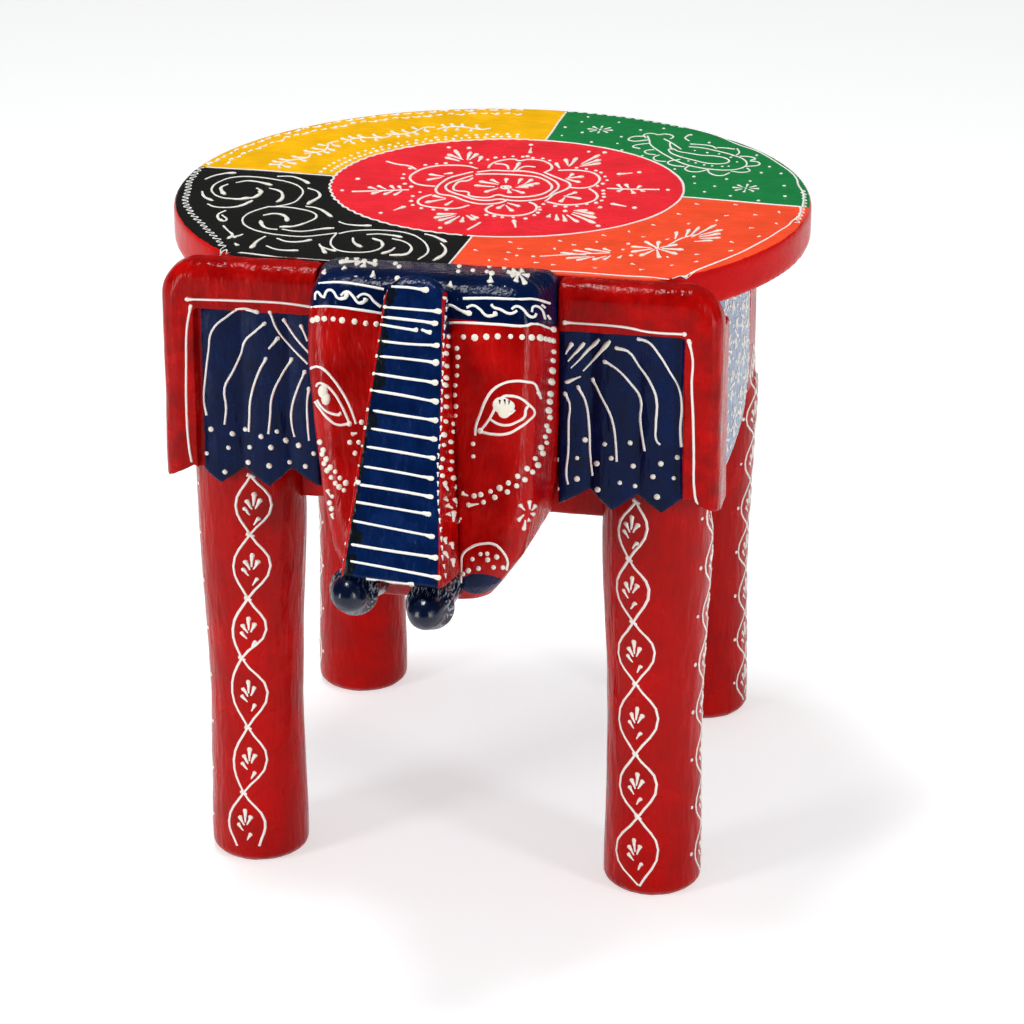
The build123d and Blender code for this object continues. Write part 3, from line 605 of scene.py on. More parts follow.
# domes with a dimple on top, made a few at a time because each operator call walks the whole bmesh;
# those over 2 mm wide are patches, finer and flatter
def addDots(bm, dots):
    few, tallest = 24, handLaid["tallest"]
    for first in range(0, len(dots), few):
        domes = bmesh.new()
        for across, deep, x, y in dots[first:first + few]:
            size = 1 + 1.5 * random.uniform(-1, 1) * handLaid["uneven"]
            turn = Matrix.Rotation(random.uniform(0, 1), 4, "Z")
            stretch = Matrix.Diagonal((across * size, deep * size, min(across, deep, tallest) * size, 1))
            fine, dimple = (2, handLaid["patchDimple"]) if across > 2 else (1, handLaid["dimple"])
            spot = Matrix.Translation((x * mm, y * mm, 0)) @ stretch @ turn
            rings = {"u_segments": 8 * fine, "v_segments": 5 * fine}
            dome = bmesh.ops.create_uvsphere(domes, radius=mm, matrix=spot, **rings)
            max(dome["verts"], key=lambda v: v.co.z).co.z *= dimple
        mesh = meshFrom("dots", domes)
        bm.from_mesh(mesh)
        bpy.data.meshes.remove(mesh)


def islandsOf(bm):
    islands, found = [], set()
    for first in bm.verts:
        if first in found:
            continue
        island, waiting = [], [first]
        found.add(first)
        while waiting:
            v = waiting.pop()
            island.append(v)
            for e in v.link_edges:
                other = e.other_vert(v)
                if other not in found:
                    found.add(other)
                    waiting.append(other)
        islands.append(island)
    return islands


# place, normal, face and distance of what a spot is cast on; a miss takes the nearest place instead
def castOn(tree, spot, way):
    reach = handLaid["reach"] * mm
    hit = tree.ray_cast(spot - way * reach, way, 2 * reach)
    if hit[0] is None:
        place, normal, face, gap = tree.find_nearest(spot)
        hit = place, normal, face, reach + gap
    return hit


# lays flat strokes, in mm, on the pieces named, along the way that surface(u, v) gives
def layOrnament(name, patterns, surface, onto, seed, patches=(), paint=coneEnamel):
    random.seed(seed)
    strokes = joined(*patterns)
    curve = bpy.data.curves.new(name, "CURVE")
    curve.dimensions = "3D"
    curve.bevel_depth = 1 * mm
    curve.bevel_resolution = 1
    curve.use_fill_caps = True
    curve.resolution_u = 4
    curve.twist_mode = "Z_UP"
    for radius, lines in strokes.get("lines", {}).items():
        for line in lines:
            closed = len(line) > 3 and math.dist(line[0], line[-1]) < 0.01
            line = line[:-1] if closed else line
            addStroke(curve, line, [radius] * len(line), closed)
    for radius, drops in strokes.get("drops", {}).items():
        for drop in drops:
            addDrop(curve, drop, radius)
    drawn = newPiece(name, curve)
    mesh = meshOf(drawn)
    bpy.data.objects.remove(drawn)
    bm = bmesh.new()
    bm.from_mesh(mesh)
    dots = [(radius, radius, x, y) for radius, spots in strokes.get("dots", {}).items() for x, y in spots]
    addDots(bm, dots + list(patches))
    load = bm.verts.layers.float.new("load")
    for v in bm.verts:
        v[load] = clamped((v.co.z / mm - handLaid["thickFrom"]) / handLaid["thickOver"])
    grounds = [p.data for p in onto]
    trees = [BVHTree.FromPolygons([v.co for v in m.vertices], [f.vertices for f in m.polygons]) for m in grounds]
    for stroke in islandsOf(bm):
        middle = sum((v.co for v in stroke), Vector()) / len(stroke)
        tree = min(trees, key=lambda t: castOn(t, *surface(middle.x / mm, middle.y / mm))[3])
        for v in stroke:
            height = v.co.z
            place, normal = castOn(tree, *surface(v.co.x / mm, v.co.y / mm))[:2]
            v.co = place + normal * height * (handLaid["proud"] if height > 0 else handLaid["sunk"])
    bmesh.ops.recalc_face_normals(bm, faces=bm.faces[:])
    pieces[name] = newPiece(name, meshFrom(name, bm))
    finishPiece(pieces[name], paint)
    print("ornament:", name, len(pieces[name].data.polygons), "faces")


def flatSurface(origin, across, up, way):
    origin, across, up, way = Vector(origin), Vector(across), Vector(up), Vector(way).normalized()
    return lambda u, v: ((origin + across * u + up * v) * mm, way)


# seen a little from above and from the right, as the face was painted
slanting = (-0.1747, 0.9129, -0.3689)
seatSurface = flatSurface((0, 0, seatPlace["top"]), (1, 0, 0), (0, 1, 0), (0, 0, -1))
headSurface = flatSurface((0, -129.25, 290), (1, 0, 0), (0, 0.1889, 0.982), slanting)
trunkSurface = flatSurface((trunkMiddle, -133.75, 302), (1, 0, 0), (0, 0.437, 0.8995), slanting)
earSurface = flatSurface((0, -88, 0), (1, 0, 0), (0, 0, 1), slanting)


# u runs round the leg in mm from its front towards the right, v is the height
def legSurface(leg):
    def surface(u, v):
        turn = u / leg["radius"]
        out = Vector((math.sin(turn), -math.cos(turn), 0))
        return Vector((leg["x"], leg["y"], v)) * mm + out * (leg["radius"] + 10) * mm, -out
    return surface


# -- seat: a mandala in the middle and one pattern in each quarter
mandala = {
    "lines": {0.68: """-14 68,-8 70,0 71,8 71,15 70,20 66,24 60,26 53,25 46,22 40,16 36,8 35,3 37,0 32,-5 31,-10 33,
        -12 39,-18 40,-20 45,-20 50,-19 55,-16 57,-14 62; -15 66,-20 58,-24 50,-23 42,-18 36,-12 32,-7 28,0 27,5 30,
        12 29,20 31,26 37,28 46,29 54,27 62,22 69,16 75,8 78,0 77,-8 76,-14 72; -16 72,-20 67,-25 60,-27 53,-28 44,
        -27 38,-24 33,-18 31,-12 26,-6 22,-3 21,3 22,7 25,9 30; 27 31,28 36,29 43,32 49,34 55,33 62,28 68,22 74,18 78;
        -10 80,-10 86,-7 93,0 97,2 95,6 98,12 98,17 94,20 88,20 83,18 78; -8 88,-3 87,0 80; 12 86,7 86,4 78; 24 82,
        30 84,38 83,43 79,46 72,46 65,44 58,40 55,34 55; 44 55,48 49,50 42,48 34,43 29,36 27,28 30; 4 20,2 15,3 10,8 6,
        14 5,20 7,24 12,25 19,23 25,20 28; -28 31,-31 26,-32 20,-30 15,-25 12,-18 11,-12 12,-7 18; -15 78,-20 81,-28 81,
        -35 79,-40 74,-43 67,-44 58,-41 50,-37 46,-29 45; 52 57,64 58,77 60; -66 29,-53 33,-40 37; -61 82,-55 78,-48 76,
        -44 71; 3.5 -8,0 -20; 4.5 52.4,6.9 50,4.5 47.6,2.1 50,4.5 52.4"""},
    "drops": {
        1.25: """2 64,3 57; 9 65,9 57; 14.5 65,12 57; -5 61,0 56; -10 57,0 54; -11 50,-1 50; -4 40,1 48; 8 41,6 47;
        15 42,8 47; 15 52,9 51; 17 55,10 53; 19 59,11 55; 3 92,3 76; 32 78,31 71; 38 74,30 70; 38 64,30 69; 39 48,35 42;
        43 38,34 41; 34 31,35 39; 7 15,9 22; 15 12,10 21; 17 20,10 25; -28 18,-20 26; -18 16,-16 24; -27 30,-20 27;
        -36 64,-28 62; -25 68,-29 66; -35 54,-29 60; 56 64,59 59; 60 65,62 60; 67 64,66 60; 58 53,60 57; 66 51,64 57;
        70 55,68 58; 53 81,60 85; 58 33,66 30; -60 38,-55 35; -56 41,-51 36; -50 42,-47 37; -46 42,-44 38; -56 27,
        -52 33; -50 27,-47 34; -45 27,-43 35; 18 -1,19 -5,21 -12; -36 10,-40 3; 5 109,4 118""",
        1.4: """-32 107,-26 93; -24 105,-23 92; -20 103,-22 92; -17 99,-17 90; -34 99,-25 92; -34 94,-26 89; 39 112,
        33 95; 41 104,34 94; 42 98,33 91; 29 105,28 90; 24 102,27 92; 21 94,24 86; 33 6,33 11; 38 2,36 11; 42 1,39 11;
        48 1,41 11; 56 1,43 13; 55 9,43 16; 53 15,43 19; 49 20,44 20; -12 -13,-8 0; -16 -9,-10 0; -19 -5,-11 2; -19 1,
        -10 4; -5 -9,-6 -1; 0 -5,-5 2; 1 -2,-3 3""",
    },
    "dots": {
        1.05: """-13 94,-10 98,-6 100,-2 102,2.8 102,8 101,13 101,17 98,21 94,32 88,37 87,42 85,45 82,48 76,50 70,49 64,
        47 60,51 53,52 48,53 43,53 37,51 33,47 30,43 26,38 24,33 24,4 4,8 3,12 2,17 3,23 2,26 8,27 12,27 17,26 21,27 26,
        -34 34,-36 27,-35 19,-33 13,-28 9,-22 8,-16 9,-47 72,-48 62,-47 55,-44 46,-40 42,-41 79,-36 82,-32 84""",
        1.15: """4.5 50,-36 111,-20 87,41 117,81 60,63 86.5,70 28.5,54 26,39 17,58 -3,-13 -19.5,-45 -2,-71 30,-68 50,
        3 123,5 103,-26 112,33 117""",
    },
}
blackQuarter = {
    "lines": {0.55: """-101 -72,-75 -75,-52 -77; -97 -2,-90 5,-88 15,-90 28,-97 37,-108 42,-118 44,-127 42,-132 34,
        -133 24,-130 14,-124 8,-118 7; -109 23,-112 26; -127 30,-129 24,-127 18,-124 13; -124 33,-119 37,-113 36,
        -106 32; -106 27,-101 25,-97 18,-96 10,-97 6; -140 36,-137 43,-132 48,-128 49; -107 47,-100 48,-94 44,-89 38;
        -88 31,-82 26,-79 18,-81 10,-82 5; -82 2,-76 0,-71 -5,-66 -12; -136 16,-133 8,-127 2; -128 -3,-124 -7,-118 -7,
        -112 -3,-109 6; -99 -2,-92 -1,-83 -3,-76 -7,-73 -14,-75 -22,-80 -30,-86 -32; -99 -2,-103 -8,-106 -17,-105 -27,
        -100 -35,-92 -41,-82 -44,-72 -44,-64 -40,-58 -36; -98 -16,-94 -12,-89 -13,-86 -18,-85 -23; -97 -24,-95 -30,
        -91 -35,-86 -36; -84 -35,-77 -37,-71 -35,-66 -31,-61 -29; -61 -19,-57 -22,-50 -23,-45 -22; -57 -37,-52 -32,
        -44 -29,-35 -28,-25 -31,-18 -38,-13 -48,-11 -58,-13 -68; -58 -37,-58 -48,-55 -57,-50 -62,-43 -63,-36 -60,
        -33 -53,-35 -45,-40 -41; -49 -42,-47 -49,-42 -55; -44 -36,-38 -34,-32 -35,-27 -37; -31 -40,-25 -43,-20 -50,
        -19 -58,-21 -63,-27 -64; -27 -53,-28 -58,-31 -63; -18 -30,-12 -33,-6 -40; -8 -42,-4 -50,-3 -60,-6 -68; -117 -12,
        -119 -18,-117 -25,-114 -28,-113 -26,-117 -19; -112 -35,-108 -42,-104 -48,-105 -54; -100 -46,-103 -52; -100 -60,
        -98 -63; -89 -47,-91 -55,-91 -66; -83 -49,-77 -53,-71 -52,-67 -48; -85 -61,-80 -65,-74 -66,-69 -65; -62 -54,
        -59 -60,-56 -67; -61 -57,-57 -60,-52 -63"""},
    "drops": {
        1.3: """-111 10,-116 7,-124 8; -108 17,-109 11,-118 7; -109 23,-108 18,-110 11; -97 6,-96 10,-97 18,-101 25,
        -106 27; -124 13,-127 18,-129 24,-127 30; -106 32,-113 36,-119 37; -89 38,-94 44,-100 48; -82 5,-81 10,-79 18,
        -82 26; -66 -12,-71 -5,-76 0,-82 2; -85 -23,-86 -18,-89 -13,-94 -12,-98 -16; -97 -24,-95 -30,-91 -35,-86 -36;
        -42 -55,-47 -49,-49 -42; -27 -64,-21 -63,-19 -58,-20 -50; -31 -63,-28 -58,-27 -53; -6 -40,-12 -33,-18 -30;
        -6 -68,-3 -60,-4 -50,-8 -42; -91 -66,-91 -55,-89 -47; -56 -67,-59 -60,-62 -54""",
        1.1: """-128 49,-132 48,-137 43; -127 2,-133 8,-136 16; -109 6,-112 -3,-118 -7; -86 -32,-80 -30,-75 -22;
        -61 -29,-66 -31,-71 -35,-77 -37; -45 -22,-50 -23,-57 -22; -27 -37,-32 -35,-38 -34; -114 -28,-117 -25,-119 -18;
        -105 -54,-104 -48,-108 -42; -103 -52,-100 -46; -98 -63,-100 -60; -67 -48,-71 -52,-77 -53; -69 -65,-74 -66,
        -80 -65; -52 -63,-57 -60,-61 -57; -40 -41,-35 -45,-33 -53""",
    },
}
orangeQuarter = {
    "lines": {0.5: """94 -26,100 -12,104 -8; 70 -42,55 -47,40 -53; 45 -73,60 -72.6,80 -73.4,103 -72.8; 104 -71,112 -58,
        119 -47,125 -36,130 -25,134 -15,138 -5,141 5,144 15,145 22,147 30,147 38,146 45"""},
    "drops": {
        1.25: """83 -22,90 -31; 89 -21,90 -30; 98 -24,91 -30; 102 -31,92 -31; 100 -38,91 -32; 93 -45,90 -33; 84 -44,
        89 -33; 79 -39,88 -32; 78 -31,87 -31""",
        1.1: """111 9,103 -12; 115 2,106 -8; 115 -4,106 -11; 116 -10,107 -13; 113 -15,105 -18; 104 4,102 -10; 100 0,
        100 -12; 95 -5,96 -16; 66 -36,70 -39; 58 -38,70 -41; 53 -41,62 -44; 48 -46,60 -47; 52 -54,62 -49; 57 -56,64 -49;
        64 -54,69 -47; 69 -53,71 -46; 75 -49,76 -45""",
        0.7: """22 -34,24 -35; 44 -28,46 -29; 51 -33,53 -33; 61 -26,62 -28; 62 -16,64 -17; 73 -8,74 -10; 82 4,84 3;
        80.5 -16,82 -15; 92 -18,93 -16; 98 8,99 10; 91 23,93 22; 97 40,99 39; 115 42.5,117 42; 137 35.5,138 33; 126 28,
        128 28; 113 24,115 25; 138 17,139 15; 127 7,129 8; 133.5 -4,132 -6; 121 -15,123 -16; 124 -28,122 -29; 108 -37,
        110 -36; 111 -47,109 -48; 99.5 -55,101 -54; 82 -56,84 -57; 87 -64,89 -63; 66.5 -65.5,68 -65; 47 -64,49 -64;
        39 -63,41 -62; 25 -60,27 -61; 18 -62,19 -64; 24 -50,26 -50; 9 -49,11 -50; 28 -44,30 -43; 44 -40,45 -42; 96 -42,
        97 -44""",
    },
    "dots": {0.95: "90 -31, 76 -27, 75 -36, 80 -44, 110.5 16, 37 -54, 29.5 -54"},
}
greenQuarter = {
    "lines": {0.5: """57 150,59 143,61 135,66 126,72 117,80 107,88 101,98 98,106 99,111 104,112 112,108 120,103 124;
        72 130,72 125,77 118,86 112,94 108,101 109,103 113,101 118,95 121,89 121,83 123,76 126,72 130; 70 140,71 134,
        73 128; 66 146,70 141,77 130; 80 135,87 134,93 131,100 127,104 124; 59 143,50 140,50 147,56 149; 57 146,55 152,
        58 155,62 153; 62 153,66 155,70 151,69 147; 60 137,54 133,53 130,57 127; 64 127,60 124,62 119,66 118; 68 118,
        66 114,68 108,73 107; 79 112,74 107,76 102,83 100; 85 102,84 96,89 92,95 97; 95 97,97 91,102 88,106 94; 106 97,
        112 96,115 99,113 104; 112 106,118 110,117 115,113 116; 113 117,115 120,112 123,107 123; 80 140,84 140,91 138,
        94 134; 94 136,99 136,103 135; 104 136,106 129,105 124; 77 156,76 150,79 145; 72 171,82 166,92 157,104 143,
        113 135,120 126,128 113,135 101,139 90,141 80,144 70,146 58,147 45"""},
    "drops": {0.8: petalsOf(32, 157, 6.5, 2) + petalsOf(117, 70, 6.5, 2)},
    "dots": {
        0.75: """84 128.5,90.5 126,96.5 125,103 120,107 113,83.5 110,87.5 107.5,92 105,96 104,101 104,104 105,32 157,
        117 70""",
        0.85: """22 179,20.5 169,39 172,14 157.5,24 150,15 142.5,44.5 146,31.5 134,44.5 134,52 160,63 165,89 144,
        115 126,48.5 123,60 115,79 95,90 84,106 83,117.5 82,92 73,102 70,134.5 77,137 60,98.5 60,111.5 56,125.5 51,
        121 97,130.5 97.5,123.5 108,78 156""",
    },
}
# one sprig of the yellow quarter's vine, along the ring and outwards, in mm; every other sprig is mirrored
sprig = {
    "lines": {0.62: "-14 -3, -9 -4.5, -4 -1, 2 2.5, 8 2, 13 -1"},
    "drops": {1.15: """-8 4,-7 0,-9.5 -4; -1 7,-0.5 3,-3 -0.5; 4 8,4.5 5,2 2; 9.5 7,8.5 4,7 2; -3 -7,-4 -4,-5 -1.5;
        3 -5,3 -2,1.5 1.5; 9 -5,9 -2,7 1.5"""},
}
vine = {"x": 2, "y": 44, "across": 113, "deep": 110, "turns": (164.5, 150.5, 137, 123.5, 110)}
yellowQuarter = {"lines": {0.62: []}, "drops": {1.15: []}}
for number, turn in enumerate(vine["turns"]):
    x = vine["x"] + vine["across"] * math.cos(math.radians(turn))
    y = vine["y"] + vine["deep"] * math.sin(math.radians(turn))
    spin = Matrix.Rotation(math.radians(turn - 90), 2) @ Matrix.Diagonal((1, 1 - 2 * (number % 2)))
    for kind, sizes in sprig.items():
        for radius, strokes in sizes.items():
            placed = [[tuple(Vector((x, y)) + spin @ Vector((-u, v))) for u, v in s] for s in strokesFrom(strokes)]
            yellowQuarter[kind][radius].extend(placed)
rims = {
    "black": """-147 55,-147.5 45,-146 30,-143 15,-140 0,-136 -10,-131 -20,-125 -30,-119 -40,-113 -50,-108 -58,-104 -66,
        -101 -73""",
    "right": "147.3 20, 147.6 35, 147.5 50, 146 62, 143.5 74",
}
backRim = alongStroke(ellipsePoints(0, seatPlace["y"], 147.2, 147.2, 86, 61, 12), 5.2)
lineWork = {
    "lines": {
        0.62: [
            zigzag(aroundDisc(0, 92, 268, 60), 3.1, 0.4),
            aroundDisc(0, 92, -92, 40),
            [(8.5, 133), (9, 150), (9, 170), (9.5, 190)],
            [(-80, 52.5), (-95, 53.5), (-110, 55), (-130, 55.5), (-149, 56)],
            [(89, 50), (105, 48.5), (120, 47.5), (133, 46), (146, 45)],
            [(4, -28), (3, -50), (2, -72)],
        ],
        0.36: [zigzag(strokesFrom(rims["black"])[0], 2.6, 1.45), zigzag(strokesFrom(rims["right"])[0], 2.4, 1.0)],
    },
    "drops": {0.7: [[tuple(s), tuple(s + w * 3)] for s, w in backRim]},
}
# two rows of short hooks along the yellow quarter's rim and two rows of dots outside the disc
random.seed(49)
for ring, pitch in ((145.5, 6.4), (139, 5.8)):
    for s, w in alongStroke(ellipsePoints(0, seatPlace["y"], ring, ring, 95, 171, 24), pitch):
        side = Vector((-w.y, w.x)) * random.uniform(-2.4, 2.4)
        hook = [tuple(s), tuple(s + w * 1.5 + side), tuple(s + w * random.uniform(3, 5))]
        lineWork["drops"].setdefault(random.choice((0.9, 1.2)), []).append(hook)
rows = [alongStroke(aroundDisc(wider, 97, 176, 30), pitch) for wider, pitch in ((4, 4.0), (8.5, 5.2))]
lineWork["dots"] = {1.05: [tuple(s + Vector((0, random.uniform(-0.5, 0.5)))) for row in rows for s, w in row]}
quarters = [mandala, blackQuarter, orangeQuarter, greenQuarter, yellowQuarter, lineWork]
layOrnament("seatOrnament", quarters, seatSurface, [pieces["seat"]], 50)

# -- ears: plumes that fan out from the head, dots along the lower edge and a line along the border
earStrokes = {
    "earRight": {
        "lines": {0.55: """57 286,75 286,85 285.5,95 284,111 284; 113 281,115 272,114.5 262,115.5 245,116 230,117 208,
        118 204; 90 281,95 279.5,100 274,105 266,109 259,110.5 250,110 240,110.5 231; 80 276,86 274.5,91 268,96 261,
        99 253,99 240,99.5 233,101 231.5; 75 269.5,81 266,87 260,92 253,92 243,93 234,94 228; 70 261,74 253,79 242,
        81 230,81.5 222; 63.5 257,67 250,69 238,69.5 225,70.5 214.5; 57.5 253.5,60 248,59.5 240,59.5 225,58.5 214,
        59.5 209.5"""},
        "drops": {
            1.1: "61 277, 58 271.5; 66.5 277.5, 59 268; 73 279.5, 60.5 265; 78 279, 70 269, 66 264; 58 258, 65 261.5",
        },
        "dots": {
            1.3: """67 231.5,76 230,87.5 231.5,54 221,63.5 222.5,72.5 220.5,79 223.5,89 220.5,101.5 222.5,109 226,
        107.5 216,98 216,63.5 212.5,83 212,90 211,54.5 207,73 208,100 206.5""",
            1.1: "57.5 286, 111 284, 113 281",
        },
    },
    "earLeft": {
        "lines": {0.55: """-116 286,-105 286.5,-85 287,-70 287,-57 286; -113.5 283,-115.5 272,-116.5 255,-117 235,
        -116.5 215,-115 205; -82 282,-91 283,-97 279,-104 272,-106 262,-108 250,-109 238,-108 231; -79 277.5,-84 273,
        -89 268,-91 262,-95 253,-99 245,-98.5 235,-99.5 227; -73 271,-75.5 268,-78 265; -79 261,-83 253,-87 240,-88 230,
        -88.5 224.5; -67 261.5,-72 253,-77 242,-78 232,-79 224; -61 256,-65 247,-68 236,-68 229,-67 223.5; -59.5 248,
        -60.5 240,-60.5 230,-60 222; -77 283,-74 275,-68 267,-60 259; -71 280,-66 272,-59 264; -63 277.5,-61.5 274,
        -60 270"""},
        "dots": {
            1.3: """-106 224.5,-96 223,-90 225.5,-88 217,-82.5 222.5,-78 217.5,-75 225.5,-71 221.5,-65 219.5,-58 216,
        -98 216,-108.5 212.5,-100 204,-89 209.5,-79 208.5,-69.5 211,-62 209.5,-55 221""",
            1.1: "-57.5 286, -113.5 283",
        },
    },
}
for name, pattern in earStrokes.items():
    heads = {"drops": withHeads(pattern["lines"][0.55], 1.0, 6)}
    layOrnament(name + "Ornament", [pattern, heads], earSurface, [pieces[name]], 51)

# -- trunk: a row of dashes down its right corner, and rings that stop short of the edges, most of them
# let go with a blob at the right
trunkStrokes = {
    "lines": {0.6: """-10.5 11.2,-3 11,5 10.5; -12.5 2,0 1.8,11.5 1.5; -14 -2.3,-2 -3,10.5 -3.8; -15 -5.7,-6 -6.6,
        3 -7.3; 4.5 -7,9 -8; -15 -12.8,-1 -13.4,12 -13.3; -14.5 -19.5,-2 -20,12 -20.8; -15 -27.3,-2 -28.4,12.5 -29.5;
        -15.5 -34.5,-1 -36,13.5 -37.7; -16.5 -43,-1 -44.6,14 -45.8; -17 -51,-1 -52.6,14.5 -54; -18 -59,-2 -60.5,
        14.5 -62.2; -19 -67.5,-2 -69,14.5 -71; -21 -75.5,-3 -77,15 -79; -20 -73.5,-17 -75.4; -18 -83.3,-2 -85,
        14.5 -86.5; -23.5 -91,-3 -93.5,17 -96; -23.5 -101.5,-2 -103.4,19 -105; -23.5 -108.5,-1 -111,21 -113.5;
        -10.5 -116.3,0 -116.9,10.5 -117.2"""},
    "dots": {
        1.25: """5 10.5,11.5 1.5,10.5 -3.8,12 -13.3,12.5 -29.5,13.5 -37.7,14 -45.8,14.5 -54,14.5 -62.2,14.5 -71,15 -79,
        14.5 -86.5,17 -96,19 -105,21 -113.5""",
        1.6: "12 -20.8",
        0.85: """-12.5 2,-15 -12.8,-14.5 -19.5,-15 -27.3,-15.5 -34.5,-16.5 -43,-17 -51,-18 -59,-19 -67.5,-21 -75.5,
        -23.5 -101.5""",
    },
}
heads = {"drops": withHeads(trunkStrokes["lines"][0.6], 1.15, 5, end=1)}
corner = "14.5 8, 14.6 -10, 15.6 -30, 16.6 -50, 16.6 -65, 18.1 -80, 20.6 -95, 22.1 -105, 24.4 -114"
corner = alongStroke(strokesFrom(corner)[0], 4)
dashes = {"drops": {0.55: [[tuple(spot), tuple(spot + way * 2.3)] for spot, way in corner]}}
layOrnament("trunkOrnament", [trunkStrokes, heads, dashes], trunkSurface, [pieces["trunk"]], 52)

# -- head: a scroll border round the brow, rows of dots, eyes with painted lids and a chain under the cheek
headStrokes = {
    "lines": {0.6: """10.5 17.3,14 17.4,17 17.4; 19.5 18,30 18.8,45 19.3,50 20,58 19.5; 11.5 6.8,20 7.2,35 7.5,48 7.8,
        50 8.8,60 8.3; -45.5 21,-36 22,-25 21.2,-16 20; -48.5 10.2,-40 10.7,-25 10,-16.5 9.2; 9.5 11,11 14,14 14.5,
        18 12.8,23.5 11.3; 21 14,24 15,27 13.5,30 11,33 11.2,34.5 12.7; 32 16,33 15,36 14,40 12.5,42 13,43.5 14;
        41 14.5,43 16,46 15,49 12,51 12,52 13.5; 50 14,50.5 16.5,54 16,56 12; 54 18,56 17; 57 14,58.5 12.5; -46.7 13.5,
        -46 17,-43.5 15,-42 14.8; -42.5 15,-41 18,-39 18,-36 14.5,-33 15,-32 17; -35 16,-32.5 17.8,-29.5 16,-27 13.2,
        -24.5 13.5,-23.5 15.5; -27.5 15.5,-25.5 17,-22.5 16.8,-20 14,-17 12; 26.8 -42,27 -38,28.5 -33,31 -26,34 -21.5,
        38 -18.5,43 -17,49 -16.8,52.5 -17.5,54 -20.5,55.5 -23.5; 29 -39.8,32 -35.5,34 -32,36 -27.5,38.5 -24.3,
        41.5 -23.5,46 -24.2,50 -26.5,53 -30,50.5 -33.5,46 -37.5,41 -40.3,34 -41,30 -40.3; 33.5 -34.5,36.5 -36.2,
        41 -36.5,45 -34.8,48.5 -32,49 -29,50 -27.5; 38 -32.8,42 -31.5,44 -29.5; 22.5 -108,22.5 -100,23 -95.5,27 -91.5,
        32 -89.8,37 -89.8,41 -93,43.2 -97,42.8 -101; -48 -17,-45 -16.2,-41.5 -17.5,-38 -20.5,-33.5 -26,-30 -32,
        -27.5 -38,-26.5 -40.5; -45.5 -31.5,-43 -35,-39 -39,-35 -41.3,-29.5 -40.5; -45 -25,-44 -23.5,-41 -24,-37 -27,
        -34 -31.5,-31.5 -36,-29.5 -40; -44.5 -31,-42 -34,-38 -36.5,-34 -37"""},
    "drops": {1.15: """23.5 11.3,20 12,16 13.8; 34.5 12.7,33 11.2,30 11; 14 -63.5,16 -67.5; 18.5 -65,21 -66.5; 21.5 -68,
        24.5 -69; 14.5 -70.5,16 -72; 18.5 -70.5,21.5 -74; 15.5 -73.5,18 -75; 16 -77,17.5 -78.5; 18.8 -76,18.7 -81;
        20.8 -79,20.7 -81.5; 15 -88,16 -91; 18 -90,19 -93; 15.5 -94,17 -97; 19 -97,19.5 -101; 24 -73.2,29.5 -72.3;
        51.8 -69,52.3 -73; 55 -71,53 -73.5; 47.5 -71,50 -73.5; 54.5 -75.3,52.5 -74.8; 47 -78.5,49.7 -75.5; 52.2 -78.5,
        51.8 -77; 49.8 -82.5,50.5 -78; 54 -20.5,55.5 -23.5; -32 17,-33 15,-36 14.5; -23.5 15.5,-24.5 13.5,-27 13.2;
        -28.5 -45.2,-25.8 -44.5; -38.7 -70.5,-37.5 -73.5; -36.5 -81,-35.5 -83.5; -34 -37,-33.5 -35.5"""},
    "dots": {
        1.45: """14 0.8,20.2 1,25.2 1,30.3 1.7,35.3 2.2,41 2.5,46 2.6,50.2 2.8,54 3.2,56.5 3.3,58.3 3.3,60 3.3,
        -47.3 4.3,-45.3 5,-42 5.2,-38 5.3,-34 5,-28.4 4.8,-23.4 4.3,-18.7 4.3,-17.3 16.3,60.5 -1.5,60.3 -5.5,60.2 -10,
        60 -15,59.7 -20.5,59.5 -24,59.2 -28,59.9 -31,29 -39.8,-29.5 -40.5,60 8.3""",
        1.15: """13.6 -3.5,12.9 -7,13.3 -12.5,13.3 -17.8,13 -21,13.8 -26,13.7 -30.5,13.8 -37,13.3 -43,13.4 -47.5,
        13.1 -53.7,12.5 -57.5,13.3 -61,17.5 -4.2,18 -8,17.9 -12,17.8 -16,17.2 -20.5,17.2 -24.8,17.8 -29.7,17.8 -33.8,
        17.3 -37.5,17.3 -41,16.2 -45.7,16.5 -50,17 -54.2,16.5 -57.8,18 -61.5,26 -45.8,26.3 -51.3,27.5 -97,31 -94.5,
        34 -94.2,34.3 -96.8,38.3 -95.3,30.3 -101,37 -100,41.2 -99.8,25.8 -102.3,23.5 -104,-29 -48.8,-26.5 -53.5,
        -24 -39.5,-25 -48.5,-36.3 -73.5,-37.5 -76.5,-36.5 -79""",
        1.3: """59.5 -37,58.8 -42.5,57.2 -47.5,55.2 -53,52.8 -56.3,49.5 -60,46 -63,42 -66,36.5 -68.8,31.5 -71.3,
        58.5 -35,58 -40,56.3 -45,53.8 -50.2,50.3 -55,46.3 -58.7,42.3 -62,38.5 -64.5,34.5 -66.3,30.2 -68,27.3 -68.8,
        -42.8 -49.5,-41.5 -54.8,-40.5 -59,-39 -62,-37 -65,-35 -67.5,-33.2 -69,-31 -70.3,-41 -53,-39.5 -57,-37.5 -60.5,
        -35.2 -62.3,-33 -65,-30.3 -67""",
    },
}
# each iris is a few thick patches of cream paint: half width, half height and middle
irises = [
    (3.7, 3.3, 38.2, -27.9),
    (3.2, 2.8, 41.0, -28.0),
    (2.5, 2.6, 39.3, -30.6),
    (2.4, 3.2, -41.8, -27),
    (1.9, 2.6, -40.3, -30.2),
]
layOrnament("headOrnament", [headStrokes], headSurface, [pieces["head"], pieces["trunk"]], 53, irises)
